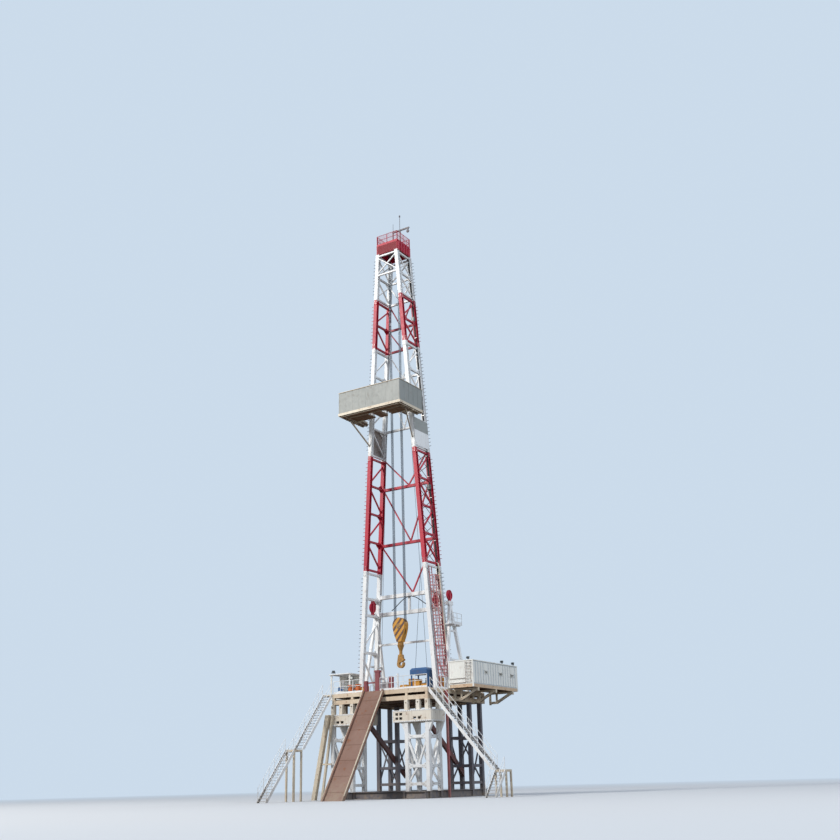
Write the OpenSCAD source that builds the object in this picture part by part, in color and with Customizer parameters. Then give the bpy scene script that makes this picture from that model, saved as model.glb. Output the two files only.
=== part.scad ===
// Land drilling rig at half size: a front-opening mast on a raised drill floor.
// Lengths are millimetres. The origin is on the ground under the well centre and +Z is up.
// The pipe ramp runs down towards -Y, the drawworks stands towards +Y.

/* [Seats and bars] */
// Clearance between pieces that seat on each other
seat = 0.3; // [0.2:0.1:0.8]
// Sides of a round tube or line that is drawn as a prism
tube_sides = 8; // [6:1:12]
// Diameter of handrail tube
rail_d = 24; // [18:1:34]
// Height of a handrail above the floor it guards
rail_h = 560; // [450:10:650]

/* [Base skids] */
// Height of the base skids
skid_h = 300; // [220:10:380]
// Distance that the skids reach past the tower posts
skid_past = 350; // [200:10:500]
// Flange width of the skid beams
skid_flange = 200; // [160:10:260]
// Plate thickness of rolled beams
beam_plate = 22; // [14:1:30]

/* [Towers] */
// Distance from the well to the inner post line of each tower
post_in = 1450; // [1300:10:1600]
// Distance of the outer tower posts inside the floor's edge
post_inset = 50; // [40:5:90]
// Width of a tower post
post_w = 170; // [130:5:200]
// Front post line of the front towers
front_y0 = -1800; // [-1900:10:-1700]
// Rear post line of the front towers
front_y1 = -925; // [-1100:10:-800]
// Front post line of the rear towers
rear_y0 = 1750; // [1600:10:1900]
// Rear post line of the rear towers
rear_y1 = 2700; // [2550:10:2850]
// Height of the lowest tower rails
rail_low_z = 580; // [520:10:700]
// Height of the middle tower rails
rail_mid_z = 1300; // [1150:10:1500]
// Height of the upper tower rails
rail_top_z = 2500; // [2300:10:2650]
// Depth of a tower rail
rail_w = 120; // [90:5:140]
// Thickness of a tower diagonal
tower_diag = 95; // [70:5:110]

/* [Service boxes] */
// Underside of the service box that caps a front tower
cap_z = 3100; // [2950:10:3200]
// Height of the service box
cap_h = 500; // [400:10:560]
// Inner end of the service box, from the well
cap_in = 800; // [700:10:900]
// Reach of the service box beyond the floor's edge
cap_reach = 200; // [150:10:300]
// Wall of the service box
cap_wall = 25; // [15:1:40]
// Height of the tapered brackets under the service box
haunch_h = 420; // [300:10:500]

/* [Drill floor] */
// Height of the drill floor
floor_z = 4500; // [4300:10:4800]
// Half width of the drill floor
floor_half = 2550; // [2500:10:2700]
// Front edge of the drill floor
floor_front = -1850; // [-1950:10:-1800]
// Rear edge of the drill floor
floor_rear = 3150; // [3000:10:3400]
// Height of the upper floor frame
frame_h = 175; // [150:5:220]
// Height of the open band between the upper frame and the main beams
band_h = 100; // [70:5:130]
// Height of the main floor beams
main_h = 200; // [160:5:260]
// Width of the floor beams
main_w = 140; // [110:5:180]
// Thickness of the floor plate
plate_t = 14; // [10:1:20]
// Diameter of the rotary table body
rotary_d = 760; // [680:10:820]
// Bore of the rotary table
rotary_bore = 350; // [300:10:420]
// Height that the rotary table stands above the floor
rotary_up = 40; // [25:5:70]

/* [Mast] */
// Height of the mast from the floor to the crown
mast_h = 22250; // [21900:50:23300]
// Half width of the mast between leg centres at the floor
mast_half_0 = 2050; // [2000:10:2120]
// Half width of the mast between leg centres at the crown
mast_half_1 = 575; // [550:5:640]
// Depth of each side of the mast between leg centres
mast_depth = 1150; // [1050:10:1250]
// How far the foot of the mast stands behind its top
mast_lean = 300; // [200:10:400]
// Width of a mast leg
leg_w = 190; // [160:5:210]
// Height of the first field joint, as a share of the mast's height
first_joint = 0.2584; // [0.2544:0.0002:0.2624]
// Height of the second field joint, as a share of the mast's height
second_joint = 0.5124; // [0.5084:0.0002:0.5164]
// Height of the third field joint, as a share of the mast's height
third_joint = 0.7663; // [0.7623:0.0002:0.7703]
// Height of the fourth field joint, as a share of the mast's height
fourth_joint = 0.8854; // [0.8814:0.0002:0.8894]
// Width of the horizontal members of the mast
girt_w = 90; // [70:5:100]
// Width of the diagonal members of the mast
brace_w = 64; // [50:2:68]

/* [Raising frame] */
// Distance from the well to the feet of the raising frame
gantry_foot_x = 2275; // [2260:5:2400]
// Distance from the well to the head of the raising frame
gantry_head_x = 2075; // [2030:5:2150]
// Front foot of the raising frame
gantry_front_y = 250; // [150:10:350]
// Rear foot of the raising frame
gantry_rear_y = 2050; // [1900:10:2300]
// Head of the raising frame, behind the well
gantry_head_y = 1050; // [950:10:1150]
// Height of the head of the raising frame above the floor
gantry_h = 4375; // [4250:25:4500]
// Width of the legs of the raising frame
gantry_w = 130; // [100:5:150]
// Half width of the foot pads of the raising frame
gantry_pad = 120; // [90:5:140]

/* [Raising sheaves] */
// Diameter of a raising sheave
sheave_d = 475; // [420:5:500]
// Thickness of a raising sheave
sheave_t = 66; // [50:2:80]
// Diameter of a sheave pin
pin_d = 70; // [50:2:90]
// Running clearance between sheave and pin
pin_gap = 0.3; // [0.1:0.1:1]
// Running clearance between sheave and cheek
cheek_gap = 6; // [5:1:12]
// Thickness of a cheek plate
cheek_t = 20; // [14:1:26]
// Width of the cheeks beside each sheave
fork_w = 110; // [90:5:140]
// Height of the mast sheaves above the floor
mast_sheave_up = 4080; // [3950:10:4200]

/* [Racking board] */
// Height of the racking board
racking_z = 17650; // [17500:10:17800]
// Half width of the racking board
racking_half = 1780; // [1700:10:1900]
// Front edge of the racking board
racking_front = -2400; // [-2550:10:-2300]
// Rear edge of the racking board walls
racking_rear = -400; // [-450:10:-380]
// Height of the wind walls
racking_wall_h = 1080; // [900:10:1150]
// Thickness of the wind walls
racking_wall_t = 30; // [20:1:40]
// Depth of the racking board frame
racking_frame_h = 100; // [80:5:140]

/* [Crown] */
// Height of the crown beams
crown_h = 510; // [450:10:600]
// Half width of the crown beams
crown_half = 620; // [600:5:660]
// Half depth of the crown beams
crown_deep = 575; // [560:5:600]
// Half width of the crown platform
crown_deck_half = 650; // [640:5:720]

/* [Travelling block] */
// Height of the top of the block above the floor, at rest
block_up = 3410; // [3200:10:3500]
// Height of the block housing
block_h = 1110; // [1000:10:1200]
// Width of the block housing
block_w = 660; // [640:10:760]
// Thickness of the block housing
block_t = 340; // [320:10:440]
// Depth of the slots where the falls enter the block
line_entry = 330; // [250:10:400]
// Number of falls on each side of the block
falls = 5; // [3:1:5]
// Distance from the well to each row of falls
fall_x = 280; // [240:5:290]
// Spacing of the falls
fall_step = 46; // [36:2:50]
// Diameter of the drilling line
line_d = 18; // [12:1:22]

/* [Ramp and stairs] */
// Width of the pipe ramp
ramp_w = 1100; // [900:10:1200]
// Distance of the ramp's middle from the well, to the left
ramp_left = 270; // [150:10:350]
// Distance that the ramp runs out from the floor
ramp_run = 2950; // [2700:10:3200]
// Height of the ramp's side rails
ramp_edge = 150; // [110:5:190]
// Clear width of a stair
stair_w = 430; // [380:10:460]
// Rise from tread to tread
riser = 115; // [100:1:125]
// Depth of a tread
tread_d = 110; // [90:5:125]
// Thickness of a tread
tread_t = 16; // [12:1:22]
// Depth of a stair stringer
stringer_h = 130; // [110:5:160]
// Thickness of a stair stringer
stringer_t = 24; // [18:1:30]
// Height of the left stair's landing
left_landing_z = 2100; // [1900:10:2300]
// Run of the left stair's upper flight
left_run = 2050; // [1900:10:2200]
// Run of the left stair's lower flight
left_low_run = 1800; // [1650:10:1950]
// Height of the right stair's landing
right_landing_z = 1050; // [900:10:1150]
// Run of the right stair's upper flight
right_run = 3050; // [2900:10:3200]
// Run of the right stair's lower flight
right_low_run = 900; // [800:10:1000]
// Length of a stair landing
landing_l = 550; // [480:10:620]

/* [Side cabin] */
// Front wall of the side cabin
cabin_front = -50; // [-100:10:50]
// Length of the side cabin
cabin_l = 4140; // [3900:20:4300]
// Width of the side cabin
cabin_w = 1220; // [1150:10:1400]
// Height of the side cabin
cabin_h = 990; // [950:10:1100]
// Wall thickness of the side cabin
cabin_wall = 50; // [30:5:70]
// Height of the beams under the side cabin
cabin_base_h = 140; // [120:5:170]
// Height of the side cabin's floor above the drill floor
cabin_up = 180; // [175:5:240]
// Clear gap between the floor edge and the side cabin
cabin_off = 30; // [20:5:60]

/* [Left shelter] */
// Front of the left shelter
shelter_front = -500; // [-600:10:-400]
// Length of the left shelter
shelter_l = 1500; // [1300:10:1700]
// Width of the left shelter
shelter_w = 1120; // [1000:10:1200]
// Height of the left shelter
shelter_h = 1050; // [950:10:1150]

/* [Floor equipment] */
// Length of the drawworks along its drum
drawworks_l = 1500; // [1300:10:1700]
// Depth of the drawworks
drawworks_d = 800; // [700:10:900]
// Height of the drawworks
drawworks_h = 800; // [700:10:900]
// Width of the driller's cabin
driller_w = 860; // [800:10:950]
// Depth of the driller's cabin
driller_d = 620; // [550:10:680]
// Height of the driller's cabin
driller_h = 1000; // [900:10:1100]

/* [Hidden] */
joint_1 = first_joint * mast_h;
joint_2 = second_joint * mast_h;
joint_3 = third_joint * mast_h;
joint_4 = fourth_joint * mast_h;
post_out = floor_half - post_inset;
cap_out = floor_half + cap_reach;

white = [0.93, 0.94, 0.95];
cream = [0.90, 0.87, 0.78];
crimson = [0.78, 0.12, 0.22];
rust = [0.49, 0.33, 0.29];
steel = [0.35, 0.36, 0.40];
amber = [0.88, 0.58, 0.16];
blue = [0.12, 0.32, 0.60];
maroon = [0.43, 0.18, 0.22];

main_top = floor_z - frame_h - band_h;
main_low = main_top - main_h;
gantry_head = [gantry_head_x, gantry_head_y, floor_z + gantry_h];
gantry_neck = gantry_head - [0, 0, 380];
crown_z = floor_z + mast_h;
sheave_x_gap = sheave_t / 2 + cheek_gap;
crown_sheave_d = 2 * (fall_x - line_d / 2 - seat);
stair_post_d = min(rail_d + 4, stringer_t - 2);

// Box between two opposite corners
module slab(low, high) translate(low) cube(high - low);

// Shape repeated on the other side of the rig
module both_sides() {
    children();
    mirror([1, 0, 0]) children();
}

// Stands a shape that rises from the origin along the line from p to q
module run(p, q) {
    d = q - p;
    translate(p) rotate([0, acos(d.z / norm(d)), atan2(d.y, d.x)]) children();
}

// Square or flat bar from p to q, w across and h in the upright plane
module bar(p, q, w, h) run(p, q) translate([-h / 2, -w / 2, 0]) cube([h, w, norm(q - p)]);

// Near-upright bar from p to q whose sides stay square to the rig
module post(p, q, w, d) {
    v = q - p;
    a = atan2(v.y, v.x);
    translate(p) rotate([0, acos(v.z / norm(v)), a]) rotate([0, 0, -a])
        translate([-w / 2, -d / 2, 0]) cube([w, d, norm(v)]);
}

// Round tube or line from p to q
module rod(p, q, d) run(p, q) cylinder(d = d, h = norm(q - p), $fn = tube_sides);

// I-beam section, h high and w wide, standing on the origin
module i_section(h, w, t) {
    square([w, t], center = false);
    translate([0, h - t]) square([w, t]);
    translate([w / 2 - t / 2, t / 2]) square([t, h - t]);
}

// I-beam along Y from y0 to y1, centred on x, standing on z
module beam_y(x, y0, y1, z, h, w, t)
    translate([x - w / 2, y1, z]) rotate([90, 0, 0]) linear_extrude(y1 - y0) i_section(h, w, t);

// I-beam along X from x0 to x1, centred on y, standing on z
module beam_x(y, x0, x1, z, h, w, t)
    translate([x0, y - w / 2, z]) rotate([90, 0, 90]) linear_extrude(x1 - x0) i_section(h, w, t);

// Straight railing from p to q: posts, top rail, knee rail and toe board
module railing(p, q, h = rail_h, step = 700) {
    n = max(1, ceil(norm(q - p) / step));
    for (i = [0:n]) rod(p + (q - p) * i / n, p + (q - p) * i / n + [0, 0, h], rail_d + 4);
    for (k = [1, 0.55]) rod(p + [0, 0, h * k], q + [0, 0, h * k], rail_d);
    bar(p + [0, 0, 50], q + [0, 0, 50], 8, 76);
}

// Half width between the leg centres of the mast at a height above the floor
function leg_x(u) = mast_half_0 + (mast_half_1 - mast_half_0) * u / mast_h;
// Middle of the mast's depth at a height above the floor
function mid_y(u) = mast_lean * (1 - u / mast_h);
// Leg centre on the right side; s is -1 at the front and 1 at the rear
function leg_at(u, s) = [leg_x(u), mid_y(u) + s * mast_depth / 2, floor_z + u];

// One skid: two long beams and a cross beam at every post line
module skid() {
    y0 = front_y0 - skid_past;
    y1 = rear_y1 + skid_past;
    for (x = [post_in, post_out]) beam_y(x, y0, y1, 0, skid_h, skid_flange, beam_plate);
    for (y = [y0 + skid_flange / 2, front_y0, front_y1, (front_y1 + rear_y0) / 2,
              rear_y0, rear_y1, y1 - skid_flange / 2])
        beam_x(y, post_in, post_out, beam_plate / 2, skid_h - beam_plate, skid_flange, beam_plate);
    for (x = [post_in, post_out], y = [front_y0, front_y1, rear_y0, rear_y1])
        slab([x - post_w / 2, y - post_w / 2, beam_plate], [x + post_w / 2, y + post_w / 2, skid_h]);
}

module base_skids() color(steel) both_sides() skid();

// Beams that hold the skids apart
module base_spreaders() color(steel)
    for (y = [front_y0, rear_y1]) {
        reach = post_in - skid_flange / 2 - seat;
        beam_x(y, -reach, reach, 0, skid_h, skid_flange, beam_plate);
        for (s = [-1, 1]) slab([s * reach - (s + 1) * 10, y - skid_flange / 2, 0],
                               [s * reach - (s - 1) * 10, y + skid_flange / 2, skid_h]);
    }

// Rails and diagonals between two tower posts, kept just clear of the posts
module tower_face(a, b, top, diag, laced) {
    mid = (a + b) / 2;
    gap = post_w / 2 + seat;
    cut = abs(a.x - b.x) > abs(a.y - b.y) ? [abs(a.x - b.x) / 2 - gap, post_w] : [post_w, abs(a.y - b.y) / 2 - gap];
    intersection() {
        union() {
            for (z = [rail_low_z, rail_mid_z, rail_top_z])
                if (z < top) bar([a.x, a.y, z], [b.x, b.y, z], rail_w, rail_w);
            if (laced) {
                bar([a.x, a.y, rail_top_z], [mid.x, mid.y, rail_mid_z], diag, diag);
                bar([b.x, b.y, rail_top_z], [mid.x, mid.y, rail_mid_z], diag - 10, diag - 10);
                bar([mid.x, mid.y, rail_mid_z], [a.x, a.y, rail_low_z], diag - 20, diag - 20);
            } else bar([a.x, a.y, rail_low_z], [b.x, b.y, rail_top_z], diag, diag);
        }
        slab([mid.x - cut.x, mid.y - cut.y, rail_low_z - rail_w], [mid.x + cut.x, mid.y + cut.y, top]);
    }
}

// Four-post tower from the skids up to a given height
module tower(y0, y1, top, diag, laced = true) {
    corners = [[post_in, y0], [post_out, y0], [post_out, y1], [post_in, y1]];
    for (c = corners) slab([c.x - post_w / 2, c.y - post_w / 2, skid_h + seat],
                           [c.x + post_w / 2, c.y + post_w / 2, top]);
    for (i = [0:3]) tower_face(corners[i], corners[(i + 1) % 4], top, diag, laced);
}

// Tapered plate bracket that widens upwards at the head of a post
module haunch(x, y, side) {
    head = cap_z - seat;
    translate([x, y + post_w / 2 - 15, 0]) rotate([90, 0, 0]) linear_extrude(post_w - 30)
        polygon([[0, head - haunch_h], [side * post_w / 2, head - haunch_h],
                 [side * (post_w / 2 + 190), head], [0, head]]);
}

module front_towers() color(white) both_sides() {
    tower(front_y0, front_y1, cap_z - seat, tower_diag);
    for (y = [front_y0, front_y1]) {
        haunch(post_in, y, -1);
        haunch(post_out, y, 1);
    }
}

module rear_towers() color(steel) both_sides() tower(rear_y0, rear_y1, main_low - seat, tower_diag - 40, false);

cap_rear = front_y1 + 140;

// Deep diagonal from the rear face of each box girder, past the rear tower's first post to its last
module side_braces() color(maroon) both_sides() {
    x = post_in + post_w / 2 + seat + 55;
    intersection() {
        bar([x, cap_rear - 100, cap_z + cap_h], [x, rear_y1, skid_h + 600], 110, 225);
        slab([0, cap_rear + seat, skid_h + seat], [post_out, rear_y1 - post_w / 2 - 15, cap_z + cap_h - 10]);
    }
}

// Hollow box girder on a front tower, with openings in its face and stub columns on top
module service_boxes() color(white) both_sides() {
    y0 = front_y0 - 140;
    y1 = cap_rear;
    difference() {
        slab([cap_in, y0, cap_z], [cap_out, y1, cap_z + cap_h]);
        slab([cap_in + cap_wall, y0 + cap_wall, cap_z + cap_wall],
             [cap_out - cap_wall, y1 - cap_wall, cap_z + cap_h - cap_wall]);
        for (x = [cap_in + 130, cap_in + 340, cap_out - 900, cap_out - 660])
            slab([x, y0 - cap_wall, cap_z + 110], [x + 150, y1 + cap_wall, cap_z + 210]);
        for (x = [cap_in + 130, cap_in + 340])
            slab([x, y0 - cap_wall, cap_z + 290], [x + 150, y1 + cap_wall, cap_z + 390]);
    }
    for (x = [post_in, post_out - 450, post_out], y = [front_y0, front_y1]) difference() {
        slab([x - 85, y - 85, cap_z + cap_h + seat], [x + 85, y + 85, main_low - seat]);
        translate([x, y + 200, main_low - 120]) rotate([90, 0, 0]) cylinder(d = 70, h = 400, $fn = 32);
    }
}

// Leaning columns that run from the left box girder's front face out to the ground
module raking_columns() color(cream) {
    y = front_y0 - 140 - seat;
    foot_x = post_out + 920;
    intersection() {
        union() {
            post([-post_out - 60, y - 85, main_low], [-foot_x, y - 85, -40], 190, 170);
            post([-post_out + 160, y - 50, main_low], [-foot_x + 420, y - 50, -40], 90, 100);
            bar([-post_out - 560, y - 60, 1500], [-post_out + 40, y - 60, 1500], 70, 70);
        }
        slab([-5000, -5000, 0], [0, y, cap_z + cap_h]);
    }
}

skid_out = post_out + skid_flange / 2;

// Post at the floor's edge, in front of the side cabin
module cabin_post() color(crimson) {
    x = skid_out + 10;
    y = cabin_front - 400;
    slab([x, y - 45, 0], [x + 90, y + 45, floor_z - 60]);
    slab([floor_half + seat, y - 35, floor_z - 140], [x + 20, y + 35, floor_z - 75]);
    for (z = [1700, floor_z - 700]) slab([x + 2, y - 62, z], [x + 108, y + 62, z + 160]);
}

// Grid of main beams under the floor, with the spacers that carry the floor panels
module floor_beams() color(cream) {
    w = main_w / 2;
    lines = [-floor_half + w, -post_in, post_in, floor_half - w];
    cross = [floor_front + w, front_y1, -560, 560, rear_y0, rear_y1, floor_rear - w];
    for (x = lines) {
        slab([x - w, floor_front, main_low], [x + w, floor_rear, main_top]);
        for (y = cross) slab([x - w + 10, y - w + 10, main_top - 10],
                             [x + w - 10, y + w - 10, main_top + band_h - seat]);
    }
    for (i = [0:2], y = cross)
        slab([lines[i] + w + seat, y - w, main_low + 10], [lines[i + 1] - w - seat, y + w, main_top - 10]);
}

// One framed panel of the drill floor between two corners; four leave the rotary table's opening
module floor_panel(low, high) {
    z = floor_z - frame_h;
    slab([low.x, low.y, floor_z - plate_t], [high.x, high.y, floor_z]);
    difference() {
        slab([low.x, low.y, z], [high.x, high.y, floor_z - plate_t / 2]);
        slab([low.x + 60, low.y + 60, z - 1], [high.x - 60, high.y - 60, floor_z]);
    }
    for (k = [0.25, 0.5, 0.75]) {
        y = low.y + (high.y - low.y) * k;
        slab([low.x + 30, y - 25, z + 20], [high.x - 30, y + 25, floor_z - plate_t / 2]);
    }
}

module floor_deck() color(cream) {
    hole = rotary_d / 2 + 20;
    floor_panel([-floor_half, floor_front], [-hole - seat, floor_rear]);
    floor_panel([hole + seat, floor_front], [floor_half, floor_rear]);
    floor_panel([-hole, floor_front], [hole, -hole]);
    floor_panel([-hole, hole], [hole, floor_rear]);
}

// Rotary table: a drum in the floor with a wider rim and a stepped bore
module rotary_table() color(maroon) difference() {
    union() {
        translate([0, 0, floor_z - frame_h]) cylinder(d = rotary_d, h = frame_h + seat + 5, $fn = 64);
        translate([0, 0, floor_z + seat]) cylinder(d = rotary_d + 100, h = rotary_up, $fn = 64);
    }
    translate([0, 0, floor_z - frame_h - 1]) cylinder(d = rotary_bore, h = frame_h + rotary_up + 10, $fn = 64);
    translate([0, 0, floor_z + rotary_up - 25]) cylinder(d = rotary_bore + 90, h = 60, $fn = 64);
}

// Posts of the pipe door at the head of the ramp
module v_door_posts() color(maroon) {
    y = floor_front + 130;
    z = floor_z + seat;
    slab([-ramp_left - 560, y - 70, z], [-ramp_left - 400, y + 70, z + 470]);
    slab([-ramp_left + 60, y - 80, z], [-ramp_left + 260, y + 80, z + 880]);
    bar([-ramp_left - 480, y, z + 380], [-ramp_left + 160, y, z + 380], 60, 60);
    slab([-ramp_left + 30, y - 100, z + 820], [-ramp_left + 290, y + 100, z + 900]);
    slab([330, y + 200, z], [510, y + 350, z + 620]);
}

// Railings round the drill floor, one straight run at each gap
module floor_railings() color(white) {
    z = floor_z + seat;
    in = 45;
    right_gap = 700;
    railing([-floor_half + in, floor_front + in, z], [-ramp_left - 620, floor_front + in, z]);
    railing([60, floor_front + in, z], [floor_half - 40, floor_front + in, z]);
    railing([-floor_half + in, shelter_front - 120, z], [-floor_half + in, floor_front + 560, z]);
    railing([-floor_half + in, shelter_front + shelter_l + 80, z], [-floor_half + in, floor_rear - 120, z]);
    railing([-floor_half + in, floor_rear - in, z], [floor_half - in, floor_rear - in, z]);
    railing([floor_half - in, floor_front + right_gap, z], [floor_half - in, cabin_front - 60, z]);
}

// Pipe ramp: a plate between two side rails, cut level at the floor and the ground
module pipe_ramp() color(rust) {
    top = [-ramp_left, floor_front - seat, floor_z - 20];
    foot = [-ramp_left, floor_front - seat - ramp_run, 0];
    over = (top - foot) / norm(top - foot) * 300;
    rail_x = ramp_w / 2 - 45;
    intersection() {
        union() {
            bar(foot - over, top + over, ramp_w - 180 - 2 * seat, 30);
            for (s = [-1, 1])
                bar(foot - over + [s * rail_x, 0, 20], top + over + [s * rail_x, 0, 20], 90, ramp_edge);
            for (k = [0.08:0.14:0.95]) {
                at = foot + (top - foot) * k - [0, 0, 58];
                slab(at - [rail_x - 45 - seat, 45, 45], at + [rail_x - 45 - seat, 45, 45]);
            }
        }
        slab([-3000, foot.y - 300, 0], [3000, floor_front - seat, floor_z + 60]);
    }
}

// One side of a flight from its upper nose to its lower nose: stringer, posts and rails.
// The slabs cut it level at its two ends.
module stair_side(up, down, out, posts = 5) {
    over = (up - down) / norm(up - down) * 150;
    lift = [0, 0, -stringer_h * 0.45];
    intersection() {
        bar(down - over + lift, up + over + lift, stringer_t, stringer_h);
        slab([min(up.x, down.x) - (out.x == 0 ? stringer_t : 0), min(up.y, down.y) - (out.y == 0 ? stringer_t : 0),
              down.z], [max(up.x, down.x) + (out.x == 0 ? stringer_t : 0),
              max(up.y, down.y) + (out.y == 0 ? stringer_t : 0), up.z + stringer_h]);
    }
    for (i = [0:posts]) {
        p = down + (up - down) * (0.03 + 0.94 * i / posts);
        rod(p, p + [0, 0, rail_h - 40], stair_post_d);
    }
    for (k = [1, 0.55]) {
        h = [0, 0, (rail_h - 40) * k];
        rod(down + (up - down) * 0.03 + h, down + (up - down) * 0.97 + h, stair_post_d - 2);
    }
}

left_x = -floor_half - 20 - stair_w / 2 - stringer_t;
left_top = [left_x, floor_front - 20, floor_z];
left_mid = [left_x, left_top.y - left_run, left_landing_z];
left_turn = [left_x, left_mid.y - landing_l, left_landing_z];
left_foot = [left_x, left_turn.y - left_low_run, 0];
right_y = floor_front + 60 + stair_w / 2 + stringer_t;
right_top = [floor_half + seat, right_y, floor_z];
right_mid = [right_top.x + right_run, right_y, right_landing_z];
right_turn = [right_mid.x + landing_l / 2, right_y - stair_w / 2 - stringer_t, right_landing_z];
right_foot = [right_turn.x, right_turn.y - right_low_run, 0];
half_stair = stair_w / 2 + stringer_t / 2;

module stair_sides() color(white) {
    for (s = [-1, 1]) {
        side = [s * half_stair, 0, 0];
        stair_side(left_top + side, left_mid + side, [0, 1, 0], 6);
        stair_side(left_turn + side - [0, seat, 0], left_foot + side, [0, 1, 0], 5);
        across = [0, s * half_stair, 0];
        stair_side(right_top + across, right_mid + across - [seat, 0, 0], [1, 0, 0], 9);
        stair_side(right_turn + side - [0, seat, 0], right_foot + side, [0, 1, 0], 2);
    }
}

// Landings on posts, and the sill plate of the left stair at the floor
module stair_landings() color(cream) {
    w = half_stair + stringer_t / 2;
    difference() {
        slab([left_x - w, left_turn.y, left_landing_z - 90], [left_x + w, left_mid.y - seat, left_landing_z]);
        slab([left_x - w + 20, left_turn.y + 20, left_landing_z - 91],
             [left_x + w - 20, left_mid.y - 20, left_landing_z - 14]);
    }
    for (x = [left_x - w + 35, left_x + w - 35], y = [left_turn.y + 35, left_mid.y - 35])
        slab([x - 35, y - 35, 0], [x + 35, y + 35, left_landing_z - 10]);
    difference() {
        slab([right_mid.x, right_y - w, right_landing_z - 90],
             [right_mid.x + landing_l, right_y + w, right_landing_z]);
        slab([right_mid.x + 20, right_y - w + 20, right_landing_z - 91],
             [right_mid.x + landing_l - 20, right_y + w - 20, right_landing_z - 14]);
    }
    for (x = [right_mid.x + 35, right_mid.x + landing_l - 35], y = [right_y - w + 35, right_y + w - 35])
        slab([x - 35, y - 35, 0], [x + 35, y + 35, right_landing_z - 10]);
    slab([left_x - w, floor_front - 20 + seat, floor_z - 60],
         [-floor_half - seat, floor_front + 560, floor_z]);
}

// Treads of a flight from its upper nose to its lower nose
module treads(up, down, along_x) {
    n = floor((up.z - down.z) / riser);
    for (i = [1:n]) {
        at = up + (down - up) * i / (n + 0.5);
        half = stair_w / 2 - seat;
        size = along_x ? [tread_d / 2, half, tread_t / 2] : [half, tread_d / 2, tread_t / 2];
        slab(at - size, at + size);
    }
}

module stair_treads() color(steel) {
    treads(left_top, left_mid, false);
    treads(left_turn, left_foot, false);
    treads(right_top, right_mid, true);
    treads(right_turn, right_foot, false);
}

// Shelter on the left walkway: floor, posts, rear wall and outer wall
module left_shelter() color(white) {
    x1 = -floor_half - seat;
    x0 = x1 - shelter_w;
    y0 = shelter_front;
    y1 = shelter_front + shelter_l;
    low = floor_z + seat;
    top = floor_z + shelter_h - 35 - seat;
    slab([x0, y0, floor_z - 120], [x1, y1, floor_z]);
    for (x = [x0 + 30, x1 - 30]) slab([x - 30, y0, low], [x + 30, y0 + 60, top]);
    slab([x0, y1 - 40, low], [x1, y1, top]);
    slab([x0, y0 + 700, low], [x0 + 30, y1 - 40 - seat, top]);
    for (y = [y0 + 60, y1 - 60]) intersection() {
        union() {
            bar([x1 + 40, y, main_low + 20], [x0 + 60, y, floor_z - 110], 60, 60);
            slab([x1 - 50, y - 35, main_low], [x1, y + 35, floor_z]);
        }
        slab([x0, y - 100, main_low], [x1, y + 100, floor_z - 120 - seat]);
    }
}

module shelter_roof() color(white) {
    x1 = -floor_half + 20;
    slab([x1 - shelter_w - 90, shelter_front - 60, floor_z + shelter_h - 35],
         [x1, shelter_front + shelter_l + 60, floor_z + shelter_h]);
}

// Driller's cabin: side wall, rear sill, open front and a deep rounded roof
module drillers_cabin() color(blue) {
    x1 = mast_half_0 - leg_w / 2 - 240;
    x0 = x1 - driller_w;
    y0 = -520;
    y1 = y0 + driller_d;
    z = floor_z + seat;
    top = z + driller_h - 280 - seat;
    slab([x1 - 30, y0, z], [x1, y1, top]);
    slab([x0, y1 - 50, z], [x0 + 50, y1, top]);
    slab([x0, y0, z], [x0 + 50, y0 + 50, top]);
    slab([x0 + 50 + seat, y1 - 30, z], [x1 - 30 - seat, y1, z + 110]);
    hull() {
        slab([x0 - 20, y0 - 40, z + driller_h - 280], [x1 + 10, y1 + 20, z + driller_h - 90]);
        slab([x0 + 50, y0 + 20, z + driller_h - 20], [x1 - 60, y1 - 40, z + driller_h]);
    }
}

// Cabinet, guard frame and spare pipe at the front of the floor
module control_stand() color(white) {
    y = floor_front + 340;
    z = floor_z + seat;
    for (x = [-150, 240]) slab([x - 22, y - 22, z], [x + 22, y + 22, z + 520]);
    slab([-172, y - 22, z + 500], [262, y + 22, z + 560]);
    slab([-120, y + 80, z], [210, y + 260, z + 400]);
    translate([730, y + 110, z]) cylinder(d = 90, h = 720, $fn = 24);
    translate([730, y + 110, z]) cylinder(d = 130, h = 90, $fn = 24);
}

// Tool chests on the floor
module tool_chests() color(amber) {
    z = floor_z + seat;
    y = floor_front + 380;
    slab([880, y, z], [1230, y + 210, z + 190]);
    slab([900, y + 15, z + 190 - seat], [1210, y + 195, z + 215]);
    slab([-1500, y + 60, z], [-1080, y + 300, z + 240]);
}

// Drawworks: skid, drum between flanges, brake housing and chain case
module drawworks() color(amber) {
    z = floor_z + seat;
    y = 2150;
    half = drawworks_l / 2;
    slab([-half - 100, y - drawworks_d / 2 - 60, z], [half + 100, y + drawworks_d / 2 + 60, z + 90]);
    for (x = [-half + 130, half - 130]) slab([x - 130, y - drawworks_d / 2, z + 80],
                                            [x + 130, y + drawworks_d / 2, z + drawworks_h]);
    translate([-half + 200, y, z + 430]) rotate([0, 90, 0]) cylinder(d = 330, h = drawworks_l - 400, $fn = 48);
    for (x = [-half + 270, half - 300])
        translate([x, y, z + 430]) rotate([0, 90, 0]) cylinder(d = 620, h = 30, $fn = 48);
    translate([half - 30, y, z + 430]) rotate([0, 90, 0]) cylinder(d = 480, h = 120, $fn = 48);
}

cabin_x0 = floor_half + cabin_off;
cabin_x1 = cabin_x0 + cabin_w;
cabin_y1 = cabin_front + cabin_l;
cabin_z = floor_z + cabin_up;

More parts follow.
